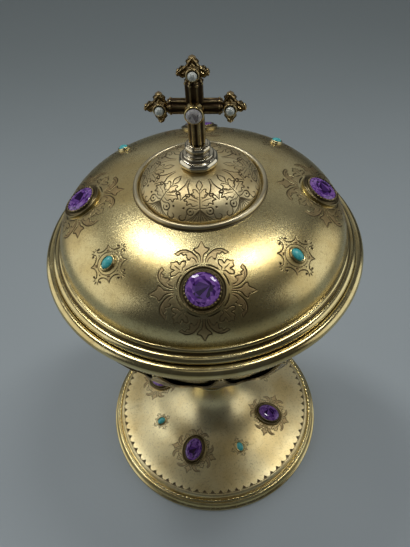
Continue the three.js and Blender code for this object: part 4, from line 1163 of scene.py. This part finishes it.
def facets(wide, long, floor, pavilion, crown):
    """A mixed-cut stone: rings of corners from the small flat below to the table on top."""
    rings = [
        (8, 0.14, 0.0, 0.5),
        (16, 0.42, 0.40 * pavilion, 0.5),
        (16, 0.70, 0.70 * pavilion, 0.0),
        (32, 1.0, pavilion - 0.05, 0.0),
        (32, 1.0, pavilion + 0.06, 0.0),
        (32, 0.91, pavilion + 0.36 * crown, 0.5),
        (16, 0.78, pavilion + 0.70 * crown, 0.5),
        (16, 0.60, pavilion + 0.93 * crown, 0.0),
        (8, 0.46, pavilion + crown, 0.5),
    ]
    points = []
    for count, share, z, turn in rings:
        a = (np.arange(count) + turn) * math.tau / count
        height = np.full(count, floor + z)
        points.append(np.stack([long * share * np.cos(a), wide * share * np.sin(a), height], axis=1))
    corners, faces = hull(np.vstack(points))
    middle = corners[faces].mean(axis=1)
    outwards = np.hypot(middle[:, 0] / long, middle[:, 1] / wide)
    # painted reflection: each facet's tone is random, lighter outwards and painted dark on the table
    painted_dark_table = (middle[:, 2] > floor + pavilion + 0.9 * crown) * 0.35
    return corners, faces, 0.05 + 0.22 * outwards + 1.05 * chance.random(len(faces)) - painted_dark_table


def cabochon(wide, long, rise):
    angles = np.linspace(0, math.pi / 2, 14)
    dome = [(max(wide * math.cos(a), 0.03), 0.3 + (rise - 0.3) * math.sin(a), 0) for a in angles]
    points, faces, _ = spun(softened([(0.03, 0.02, 0), (wide * 0.97, 0.02, 0), *dome]), 40)
    return oval(points, long, wide), faces


print("a cabochon has", len(cabochon(1.75, 2.5, 1.5)[0]), "points")

# %% [markdown]
# The stones go round by turns, a large one and then a small one. Each is seated on the metal's own slope, so
# that it leans outwards as the dome does. A bezel is soldered to the dome and is part of it in the frame, and
# a collet is a piece of its own.

# %% Setting the stones on the lid
STONE_FLOOR = 0.9
PAVILION = 0.5
CROWN = 0.8
TURQUOISE = (1.75, 2.5, 1.5)


def set_stones(side, body, skin, radius, bearings, wide, long, shell_node, lift=0.0):
    def put(name, seat, shape, finish, node, mark=None, crease=38):
        points, faces, *values = shape
        marks = {mark: values[0]} if mark else None
        add_piece(name, placed_at(points, seat), faces, finish, body, node, marks, crease)

    for number, bearing in enumerate(bearings, 1):
        axes, place = seat_on(skin, radius, bearing)
        seat = axes, place + lift * axes[:, 2]
        node = f"{side}_amethyst_collet_{number}"
        put(node + "_ring", seat, collet(wide, long), POLISHED, node, "groove")
        gem = facets(wide, long, STONE_FLOOR, PAVILION, CROWN)
        node = f"{side}_amethyst_{number}"
        put(node + "_gem", seat, gem, AMETHYST, node, "painted_reflection", crease=1)
        axes, place = seat_on(skin, radius, bearing + math.pi / 4)
        name = f"{side}_turquoise_bezel_{number}"
        put(name, (axes, place), bezel(*TURQUOISE[:2]), POLISHED, shell_node, "groove")
        seat = axes, place + SEAT_GAP * axes[:, 2]
        node = f"{side}_turquoise_{number}"
        put(node + "_cabochon", seat, cabochon(*TURQUOISE), BLUE_STONE, node)


LID_STONE = 5.7
set_stones("lid", "lid", lid_skin, STONE_RING, quarters, LID_STONE, LID_STONE, "lid_dome")
print("lid stones set at radius", STONE_RING, "mm")

# %% [markdown]
# Leaves are cast in one piece. A leaf is lofted: loops go round its front and back, as wide as its outline at
# that length, and the front carries ribs and lobes. The hollows between the ribs are marked for the patina.

# %% Casting a leaf


def lofted(loops):
    """Skins closed loops of equal count, with a fan over each end, in triangles."""
    rows, count = loops.shape[:2]
    points = np.vstack([loops.reshape(-1, 3), loops[0].mean(axis=0), loops[-1].mean(axis=0)])
    i, j = np.meshgrid(np.arange(rows - 1), np.arange(count), indexing="ij")
    a, b = i * count + j, i * count + (j + 1) % count
    ring = np.arange(count)
    after = (ring + 1) % count
    last = (rows - 1) * count
    faces = [
        np.stack([a, b, b + count], axis=2).reshape(-1, 3),
        np.stack([a, b + count, a + count], axis=2).reshape(-1, 3),
        np.stack([after, ring, np.full(count, rows * count)], axis=1),
        np.stack([last + ring, last + after, np.full(count, rows * count + 1)], axis=1),
    ]
    return points, np.vstack(faces)


def cast_leaf(length, width, thick, lobes=3, rows=34, columns=17, curl=0.0):
    """A leaf along +Y, its face to +Z, and how deep each point lies in a hollow."""
    t = np.linspace(0.0, 1.0, rows)[:, None]
    u = np.linspace(-1, 1, columns)[None]
    swell = np.sin(math.pi * np.clip(t, 0, 1) ** 0.8) ** 0.6
    lobe = 1 + 0.17 * np.cos(math.tau * (lobes * t - 0.35))
    knob = 0.34 * np.exp(-(((t - 0.93) / 0.07) ** 2))
    outline = np.clip(0.30 * (1 - t) + 0.72 * swell * lobe + knob, 0.03, None)
    half = width / 2 * outline * np.sqrt(1.0001 - t**12)
    x = half * u
    y = length * t - 0.10 * length * swell * (1 - np.cos(u * math.pi / 2)) * 0.6 + 0 * u
    body = np.sqrt(np.clip(1 - u**2, 0, 1))
    ribs = np.cos(math.pi * (3.2 * np.abs(u) + lobes * 2 * t))
    rib = np.exp(-((u / 0.16) ** 2))
    face = thick * body * (0.40 + 0.22 * ribs * swell + 0.25 * rib * (1 - t) + 1.1 * knob) + curl * t**2
    back = -thick * 0.35 * body + curl * t**2
    loops = np.stack(
        [
            np.concatenate([x, x[:, -2:0:-1]], axis=1),
            np.concatenate([y, y[:, -2:0:-1]], axis=1),
            np.concatenate([face, back[:, -2:0:-1]], axis=1),
        ],
        axis=2,
    )[:, ::-1]
    hollow = np.clip(0.75 - 0.9 * (face - curl * t**2) / thick / 0.6, 0, 1) * (1 - knob / 0.34)
    hollow = np.concatenate([hollow, 0.5 + 0 * back[:, -2:0:-1]], axis=1)[:, ::-1]
    points, faces = lofted(loops)
    return points, faces, np.concatenate([hollow.ravel(), [0.3, 0.3]])


def merged(*parts):
    """Several (points, faces, groove) as one. Quads are split, so that all faces have three corners."""
    points, faces, grooves, count = [], [], [], 0
    for some_points, some_faces, groove in parts:
        if some_faces.shape[1] == 4:
            some_faces = triangles(some_faces)
        points.append(some_points)
        faces.append(some_faces + count)
        grooves.append(groove)
        count += len(some_points)
    return np.vstack(points), np.vstack(faces), np.concatenate(grooves)


def turned_about(points, axis, degrees):
    return points @ np.array(Matrix.Rotation(math.radians(degrees), 3, axis)).T


print("a cast leaf has", len(cast_leaf(8.0, 6.0, 1.0)[0]), "points")

# %% [markdown]
# The cross is cast too. Its bars are octagonal and fluted, and each flute is painted dark brown across its
# face, partly patina and partly painted shade, which leaves a bright line on every arris. A small collar
# closes each bar before its leafy end.

# %% Cross
cross_middle = (low("cross_collet") + high("cross_collet")) / 2
SHAFT_FLAT = 2.9  # from the middle of the shaft to its flat sides
ARM_FLAT = 2.45
FLUTE = 0.30
TENON = 1.7
HUB = 2.6
SIDE_ARM = 11.4
TOP_ARM = 11.8


def fluted(angle, r, z):
    """An octagon with hollowed flats."""
    across = from_flat(angle) / (math.pi / 8)
    outside = np.clip((r - 1.5) / 1.0, 0, 1)
    plain = r / np.cos(across * math.pi / 8)
    dug = FLUTE * np.cos(across * math.pi / 2) ** 2 + 0.12 * np.abs(across) ** 8
    return plain - outside * dug, z


def bar(start, end, flat):
    corners = [
        (0.05, start, 0),
        (flat - 0.15, start, 0),
        (flat, start + 0.2, 0),
        (flat, end - 1.5, 0.1),
        (flat + 0.22, end - 1.3, 0.15),
        (flat + 0.22, end - 0.8, 0.15),
        (flat - 0.1, end - 0.6, 0.1),
        (flat - 0.3, end, 0.1),
        (0.05, end, 0),
    ]
    points, faces, groove = spun(softened(corners, 4), 128, fluted)
    # painted shade: the whole face of each flute is darkened, on top of the patina in the hollow
    flute_patina_and_shade = np.cos(from_flat(np.arctan2(points[:, 1], points[:, 0])) * 4) ** 2
    return points, faces, np.clip(groove + 1.25 * flute_patina_and_shade - 0.15, 0, 1)


arm_end = SIDE_ARM - HUB + 0.2
shaft = bar(finial_high + SEAT_GAP - cross_middle, TOP_ARM - HUB + 0.2, SHAFT_FLAT)
arms = []
for side in (90, -90):
    points, faces, groove = bar(0.0, arm_end, ARM_FLAT)
    arms.append((turned_about(points, "Y", side), faces, groove))
tenon_line = np.array([(0.05, -TENON), (TENON, -TENON), (TENON, 0.4), (0.05, 0.4)])
tenon, tenon_faces, tenon_groove = spun(tenon_line, 24)
tenon[:, 2] += finial_high + SEAT_GAP - cross_middle
points, faces, groove = merged(shaft, *arms, (tenon, tenon_faces, tenon_groove))
points = turned_about(points + (0, 0, cross_middle), "Z", CROSS_TURN)
add_piece("cross_bars", points, faces, AGED, "lid", "cross", {"groove": groove}, 30)
print("cross middle at", round(cross_middle, 1), "mm, turned by", CROSS_TURN, "degrees")

# %% [markdown]
# Each of the three upper ends is a fleuron: three small acanthus leaves round a hub, with a half pearl in a
# cup on its face. One end is built flat, and turned and moved to its place three times.

# %% Fleurons, pearls and the centre stone
PEARL = 1.45
FACE = 1.5


def fleuron():
    parts = []
    for lean in (-90, 0, 90):
        points, faces, groove = cast_leaf(4.3, 4.9, 1.9, lobes=2, curl=0.35)
        points = points + (0, 0.95, 0.1)
        parts.append((turned_about(points, "Z", lean), faces, groove))
    cup = PEARL + 0.25
    corners = [
        (0.05, -FACE, 0),
        (HUB * 0.7, -FACE, 0.3),
        (HUB, -0.4, 0.3),
        (HUB * 0.97, 0.6, 0.3),
        (cup + 0.65, 1.15, 0.2),
        (cup + 0.45, FACE + 0.5, 0.15),
        (cup + 0.5, FACE + 1.2, 0.1),
        (cup + 0.3, FACE + 1.4, 0.1),
        (cup, FACE + 1.25, 0.1),
        (cup, FACE - 0.2, 0),
        (0.05, FACE - 0.2, 0),
    ]
    parts.append(spun(softened(corners, 4), 48))
    return merged(*parts)


def pearl():
    angles = np.linspace(-math.pi / 2, math.pi / 2, 24)
    line = np.array([(max(PEARL * math.cos(a), 0.02), PEARL * math.sin(a)) for a in angles])
    return spun(line, 40, lambda angle, r, z: (r * (1 + 0.012 * np.cos(2 * angle + z)), z))


def on_cross(points, along, lean):
    """Moves a piece made facing +Z, with its outside towards +Y, to an end of the cross."""
    stood = turned_about(turned_about(points + (0, along, 0), "Z", lean), "X", 90)
    return turned_about(stood + (0, 0, cross_middle), "Z", CROSS_TURN)


for side, lean, along in (("top", 0, TOP_ARM), ("left", 90, SIDE_ARM), ("right", -90, SIDE_ARM)):
    points, faces, groove = fleuron()
    points = on_cross(points, along, lean)
    node = side + "_fleuron"
    add_piece(node + "_cast", points, faces, AGED, "lid", node, {"groove": groove}, 50)
    points, faces, _ = pearl()
    points = on_cross(points + (0, 0, FACE + SEAT_GAP + PEARL), along, lean)
    node = side + "_pearl"
    add_piece(node + "_bead", points, faces, PEARL_FINISH, "lid", node)

CENTRE_STONE = 2.6
CENTRE_FLOOR = 2.0
CENTRE_PAVILION = 0.7
CENTRE_CROWN = 1.0
centre_corners = [
    (0.05, 0.05, 0),
    (CENTRE_STONE + 0.75, 0.05, 0.1),
    (CENTRE_STONE + 0.72, 1.7, 0.2),
    (CENTRE_STONE + 0.55, 2.7, 0.15),
    (CENTRE_STONE + 0.2, 2.9, 0.05),
    (CENTRE_STONE + 0.1, 2.4, 0),
    (CENTRE_STONE - 0.3, CENTRE_FLOOR, 0),
    (0.05, CENTRE_FLOOR, 0),
]
on_shaft = (0, 0, SHAFT_FLAT + SEAT_GAP)
points, faces, groove = spun(softened(centre_corners, 4), 64)
points = on_cross(points + on_shaft, 0, 0)
marks = {"groove": groove}
add_piece("cross_collet_ring", points, faces, POLISHED, "lid", "cross_collet", marks)
stone_floor = CENTRE_FLOOR + SEAT_GAP
points, faces, painted_reflection = facets(CENTRE_STONE, CENTRE_STONE, stone_floor, CENTRE_PAVILION, CENTRE_CROWN)
points = on_cross(points + on_shaft, 0, 0)
marks = {"painted_reflection": painted_reflection}
add_piece("cross_crystal_gem", points, faces, CLEAR_STONE, "lid", "cross_crystal", marks, 1)
print("cross middle at", round(cross_middle, 1), "mm")

# %% [markdown]
# The foot is one raised shell that sweeps up into the stem. It stands in a moulded ring, behind a border of
# small cut triangles. The same rosette and cartouche are cut on it, smaller than on the lid.

# %% Foot
foot_ring_top = high("foot_base_ring")
foot_radius = reach("foot_base_ring") + 0.03
FOOT_SKIN_RADIUS = reach("foot_dome")
NECK_RADIUS = 9.5
NECK_LIP = 1.6  # height of the solid metal at the top of the neck
FOOT_WALL = 1.2
FOOT_RING_WIDTH = 6.5
FOOT_STONE_RING = 36.0
FOOT_STONE = (4.7, 6.4)
FOOT_LIFT = 0.8  # the foot curves upwards under its settings
TEETH = 78
foot_top = high("foot_dome")
foot_rise = foot_top - foot_ring_top


def bezier(a, b, c, d, steps=160):
    t = np.linspace(0, 1, steps)[:, None]
    a, b, c, d = (np.array(point, dtype=float) for point in (a, b, c, d))
    return (1 - t) ** 3 * a + 3 * t * (1 - t) ** 2 * b + 3 * t**2 * (1 - t) * c + t**3 * d


shoulder = (FOOT_SKIN_RADIUS * 0.62, foot_ring_top + foot_rise * 0.2)
foot_edge = (FOOT_SKIN_RADIUS - 2.0, foot_ring_top + 3.3)
foot_line = np.vstack(
    [
        bezier(
            (FOOT_SKIN_RADIUS, foot_ring_top),
            (FOOT_SKIN_RADIUS, foot_ring_top + 2.3),
            (FOOT_SKIN_RADIUS - 0.6, foot_ring_top + 3.2),
            foot_edge,
            30,
        ),
        bezier(
            foot_edge,
            (FOOT_SKIN_RADIUS * 0.87, foot_ring_top + 3.9),
            (FOOT_SKIN_RADIUS * 0.78, foot_ring_top + foot_rise * 0.15),
            shoulder,
        )[1:],
        bezier(
            shoulder,
            (FOOT_SKIN_RADIUS * 0.36, foot_ring_top + foot_rise * 0.28),
            (NECK_RADIUS, foot_top - foot_rise * 0.5),
            (NECK_RADIUS, foot_top),
        )[1:],
    ]
)[::-1]
foot_skin = Skin(foot_line[:, 0], foot_line[:, 1])
foot_inside = foot_line - foot_skin.normal.T * FOOT_WALL
foot_inside = foot_inside[(foot_inside[:, 1] >= foot_ring_top) & (foot_inside[:, 1] < foot_top - NECK_LIP)]
foot_under = [
    tuple(foot_line[-1]),
    *map(tuple, foot_inside[::-8]),
    (NECK_RADIUS - FOOT_WALL, foot_top - NECK_LIP),
    (BORE, foot_top - NECK_LIP),
    (BORE, foot_top),
    tuple(foot_line[0]),
]


def draw_tooth():
    """One small triangle of the border, and the line over it."""
    sheet = Engraving(2.2, turns=1)
    sheet.line([(0.0, 0.55), (1.9, 0.55)], 0.3, 1.0)
    sheet.line([(0.25, -0.55), (0.9, 0.3)], 0.5, 0.5)
    sheet.line([(0.0, 0.3), (0.0, -1.1)], 0.6, 0.4)
    return sheet


foot_quarters = [FOOT_TURN + turn for turn in quarters]
foot_ornament = [
    (rosette, FOOT_STONE_RING, foot_quarters[0], 0.80, 4),
    (cartouche, FOOT_STONE_RING, foot_quarters[0] + math.pi / 4, 0.85, 4),
    (draw_tooth(), FOOT_SKIN_RADIUS - 2.6, 0.0, 1.0, TEETH),
]
foot_place = ("cup", "satin_gilt", "foot_dome")
engraved_shell("foot_shell", foot_skin, foot_under, foot_ornament, FOOT_SATIN, *foot_place, 192)
set_stones("foot", "cup", foot_skin, FOOT_STONE_RING, foot_quarters, *FOOT_STONE, "foot_dome", FOOT_LIFT)

# %% [markdown]
# The ring under the foot is turned: a bead on the floor, a cove, and a second bead. Inside it runs a twisted
# wire, which is a round wire whose top is dented on a slant, a hundred and fifty times round.

# %% Foot ring and twisted wire
ring_inner = foot_radius - FOOT_RING_WIDTH
base_corners = [
    (ring_inner, 0.0, 0.2),
    (foot_radius - 0.5, 0.0, 0.3),
    *bead(foot_radius - 0.85, 0.95, 0.85, -60, 80, 10),
    (foot_radius - 1.1, 2.0, 0.2),
    (foot_radius - 1.8, 3.0, 0.6),
    (foot_radius - 2.0, 4.5, 0.4),
    *bead(foot_radius - 2.75, 4.65, 0.72, -10, 95, 8),
    (foot_radius - 3.3, foot_ring_top - 0.1, 0.05),
    (foot_radius - 3.4, foot_ring_top, 0.05),
    (ring_inner, foot_ring_top, 0.2),
]
turned_piece("foot_ring_moulding", base_corners, POLISHED, "cup", "polished_gilt", "foot_base_ring", 256)

ROPE_TURNS = 150
ROPE_DEPTH = 0.28


def rope(angle, r, z):
    """A twisted wire: bumps that lean as they go round it."""
    lift = z - foot_ring_top
    wave = 0.5 + 0.5 * np.cos(angle * ROPE_TURNS + (r - FOOT_SKIN_RADIUS) * 3.5)
    return r, z - ROPE_DEPTH * wave * np.clip(lift / 0.5, 0, 1)


border_corners = [
    (FOOT_SKIN_RADIUS + 0.3, foot_ring_top, 0),
    (FOOT_SKIN_RADIUS + 1.8, foot_ring_top, 0),
    *bead(FOOT_SKIN_RADIUS + 1.05, foot_ring_top + 0.1, 0.78, 0, 180, 9),
]
border_place = ("cup", "polished_gilt", "foot_border")
turned_piece("foot_border_rope", border_corners, POLISHED, *border_place, ROPE_TURNS * 6, rope)
print("foot ring", round(foot_ring_top, 1), "mm high, with", ROPE_TURNS, "twists in its wire")

# %% [markdown]
# The stem is a stack of turned pieces on a tie rod. The knop is gadrooned: its two halves are chased into
# rounded lobes that meet at a plain belt. None of this shows in the picture, so it follows common practice.

# %% Stem and knop


def collar(name, node, neck):
    bottom, top, radius = low(node), high(node), reach(node)
    half = (top - bottom) / 2
    corners = [
        (BORE, bottom, 0),
        (neck, bottom, 0.1),
        (neck + 0.3, bottom + half * 0.3, 0.15),
        *bead(radius - half * 0.75, bottom + half, half * 0.72, -85, 85, 14),
        (neck + 0.3, top - half * 0.3, 0.15),
        (neck, top, 0.1),
        (BORE, top, 0),
    ]
    turned_piece(name, corners, POLISHED, "cup", "polished_gilt", node, 128)


STEM_END = 9.2
STEM_WAIST = 6.12
KNOP_NECK = 8.6
collar("foot_collar_moulding", "foot_collar", NECK_RADIUS)
collar("lower_knop_collar", "lower_knop_ring", KNOP_NECK)
collar("upper_knop_collar", "upper_knop_ring", KNOP_NECK)

for node in ("lower_stem", "upper_stem"):
    bottom, top = low(node), high(node)
    height = top - bottom
    side = bezier(
        (STEM_END, bottom),
        (STEM_WAIST, bottom + height * 0.3),
        (STEM_WAIST, bottom + height * 0.7),
        (STEM_END, top),
        25,
    )
    corners = [(BORE, bottom, 0), *[(r, z, 0) for r, z in side], (BORE, top, 0)]
    turned_piece(node + "_spool", corners, SATIN, "cup", "satin_gilt", node, 96)

GADROONS = 16
GADROON_DEPTH = 1.5
BELT = 1.1
knop_low, knop_high, knop_reach = low("knop"), high("knop"), reach("knop")
knop_middle = (knop_low + knop_high) / 2
knop_half = (knop_high - knop_low) / 2
shares = np.linspace(-1, 1, 41)
belly = STEM_END + (knop_reach - 1.2 - STEM_END) * np.sqrt(1 - shares**2)
knop_side = []
for share, r in zip(shares, belly):
    belt = BELT * (abs(share) < 0.15)
    knop_side.append((r + belt, knop_middle + share * knop_half, 0))


def gadrooned(angle, r, z):
    share = (z - knop_middle) / knop_half
    lobes = np.clip((np.abs(share) - 0.2) / 0.12, 0, 1) * np.clip((1 - np.abs(share)) / 0.15, 0, 1)
    wave = 1 - np.abs(np.cos(angle * GADROONS / 2 + (share > 0) * math.pi / 2))
    return r - GADROON_DEPTH * lobes * wave**2 * (r > STEM_END), z


knop_corners = [(BORE, knop_low, 0), *knop_side, (BORE, knop_high, 0)]
turned_piece("knop_gadroons", knop_corners, SATIN, "cup", "satin_gilt", "knop", 320, gadrooned)
print("knop", round(high("knop") - knop_low, 1), "mm high, with", GADROONS, "gadroons")

# %% [markdown]
# The socket is a flared cup that the bowl sits in, with a wire round its edge. The tie rod, the nuts and the
# washer are left as the CAD has them, in plain brass, because they are hidden and made by a lathe.

# %% Socket and fittings
socket_low, socket_high, socket_reach = low("bowl_socket"), high("bowl_socket"), reach("bowl_socket")
socket_corners = [
    (BORE, socket_low, 0),
    (STEM_END, socket_low, 0.2),
    (8.6, socket_low + 1.4, 0.8),
    (9.6, socket_low + 3.4, 1.0),
    (socket_reach - 1.2, socket_high - 2.6, 0.8),
    *bead(socket_reach - 0.75, socket_high - 1.55, 0.75, -80, 90, 10),
    (socket_reach - 1.6, socket_high - 1.1, 0.1),
    (9.4, socket_high - 1.6, 0),
    (9.4, socket_low + 4.3, 0),
    (BORE, socket_low + 4.3, 0),
]
turned_piece("bowl_socket_flare", socket_corners, POLISHED, "cup", "polished_gilt", "bowl_socket", 128)

for node in ("tie_rod", "foot_washer", "foot_nut", "finial_stud", "finial_nut"):
    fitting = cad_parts[node]
    fitting.data.materials.clear()
    fitting.data.materials.append(BRASS.material)
print("socket", round(socket_high - socket_low, 1), "mm high")

# %% [markdown]
# The bowl is raised from sheet, round below and straight for the last stretch under the lip. It is one
# surface here, though the frame splits it into a dish and a wall.

# %% Bowl
bowl_rim = high("bowl_wall")
bowl_radius = reach("bowl_wall")
bowl_low = low("bowl")
BOWL_CURVE = 43.0
BOWL_WALL = 1.2
bowl_curve_top = bowl_low + BOWL_CURVE


def bowl_line(radius, depth, steps=60):
    return [
        (max(radius * math.sin(a), 0.05), bowl_curve_top - depth * math.cos(a), 0)
        for a in np.linspace(0, math.pi / 2, steps)
    ]


bowl_corners = [
    *bowl_line(bowl_radius, BOWL_CURVE),
    (bowl_radius, bowl_rim, 0.3),
    (bowl_radius - BOWL_WALL, bowl_rim, 0.3),
    *bowl_line(bowl_radius - BOWL_WALL, BOWL_CURVE - BOWL_WALL)[::-1],
]
turned_piece("bowl_shell", bowl_corners, SATIN, "cup", "satin_gilt", ("bowl", "bowl_wall"), 192, steps=3)

print("bowl", round(bowl_rim - bowl_low, 1), "mm deep outside")

# %% [markdown]
# A calyx wraps the bowl: sixteen leaves that rise from the socket, broad and narrow by turns, veined, with
# curled tips that each end in a bead. It is one sheet over the bowl, whose upper edge follows the leaves.
# Only the tips show under the lid's edge from above.

# %% Calyx
LEAVES = 16
LEAF_STEPS = 18
CALYX_ROWS = 44
NOTCH = 0.68
TIP = 1.02
TIP_CURL = 2.3
LEAF_SWELL = 1.4
SKIN_GAP = 0.85
SOCKET_EDGE = 14.4


def on_bowl(angle, climb, lift):
    """Points over the bowl: climb runs from the socket at 0 to the top of the curve at 1."""
    start = math.asin(SOCKET_EDGE / bowl_radius)
    a = start + (math.pi / 2 - start) * climb
    out, down = BOWL_CURVE * np.sin(a), -bowl_radius * np.cos(a)
    length = np.hypot(out, down)
    r = bowl_radius * np.sin(a) + out / length * lift
    z = bowl_curve_top - BOWL_CURVE * np.cos(a) + down / length * lift
    return np.stack([r * np.cos(angle), r * np.sin(angle), z], axis=-1)


def leafy_calyx():
    columns = LEAVES * LEAF_STEPS
    column = np.arange(columns)[None]
    leaf = np.round(column / LEAF_STEPS)
    across = (column / LEAF_STEPS - leaf) * 2
    broad = np.where(leaf % 2 == 0, 1.0, 0.35)
    lobes = 0.10 * np.sin(np.abs(across) * 3 * math.pi) * (1 - np.abs(across)) ** 0.4
    top = NOTCH + (TIP - NOTCH) * np.clip((1 - np.abs(across)) ** 1.7 + lobes * 0.6, 0, 1)
    share = np.linspace(0, 1, CALYX_ROWS)[:, None]
    climb = top * share
    tip = np.clip((climb - NOTCH) / (TIP - NOTCH), 0, 1)
    full = np.sin(math.pi * climb / TIP)
    swell = LEAF_SWELL * broad * (1 - across**2) * full**2
    veins = np.cos(math.tau * (2.0 * np.abs(across) - 3.2 * share)) * np.clip(full * 1.5, 0, 1)
    edge = np.exp(-(((1 - share) * CALYX_ROWS / 2.2) ** 2))
    rib = 0.4 * np.exp(-((across / 0.1) ** 2)) * full
    inside = SKIN_GAP + TIP_CURL * tip**2 + swell
    outside = inside + 0.62 + 0.16 * veins + 0.14 * edge + rib
    angle = CALYX_TURN + column / columns * math.tau + 0 * climb
    sheet = np.concatenate([on_bowl(angle, climb, outside), on_bowl(angle, climb, inside)[::-1]])
    row, place = np.arange(len(sheet))[:, None] * columns, np.arange(columns)[None]
    after, beside = np.roll(row, -1, axis=0), np.roll(place, -1, axis=1)
    faces = np.stack([row + place, row + beside, after + beside, after + place], axis=2).reshape(-1, 4)
    seam = np.clip((np.abs(across) - 0.75) / 0.25, 0, 1) * np.clip(1 - tip, 0, 1)
    hollow = np.clip(0.35 - 0.5 * veins - 0.3 * edge + 0.6 * seam, 0, 1)
    hollow = np.concatenate([hollow, 0.6 + 0 * hollow])
    return sheet.reshape(-1, 3), faces, hollow.ravel()


def tip_beads():
    beads = []
    around = np.linspace(-1.57, 1.57, 12)
    for number in range(LEAVES):
        angle = CALYX_TURN + number * math.tau / LEAVES
        size = 1.05 if number % 2 == 0 else 0.85
        line = np.array([(max(size * math.cos(a), 0.02), size * math.sin(a)) for a in around])
        points, faces, groove = spun(line, 18)
        beads.append((points + on_bowl(angle, TIP, SKIN_GAP + TIP_CURL + 0.7), faces, groove))
    return beads


points, faces, groove = merged(leafy_calyx(), *tip_beads())
add_piece("calyx_leaves", points, faces, AGED, "cup", "calyx", {"groove": groove}, 50)
print("calyx:", LEAVES, "leaves,", len(faces), "faces")
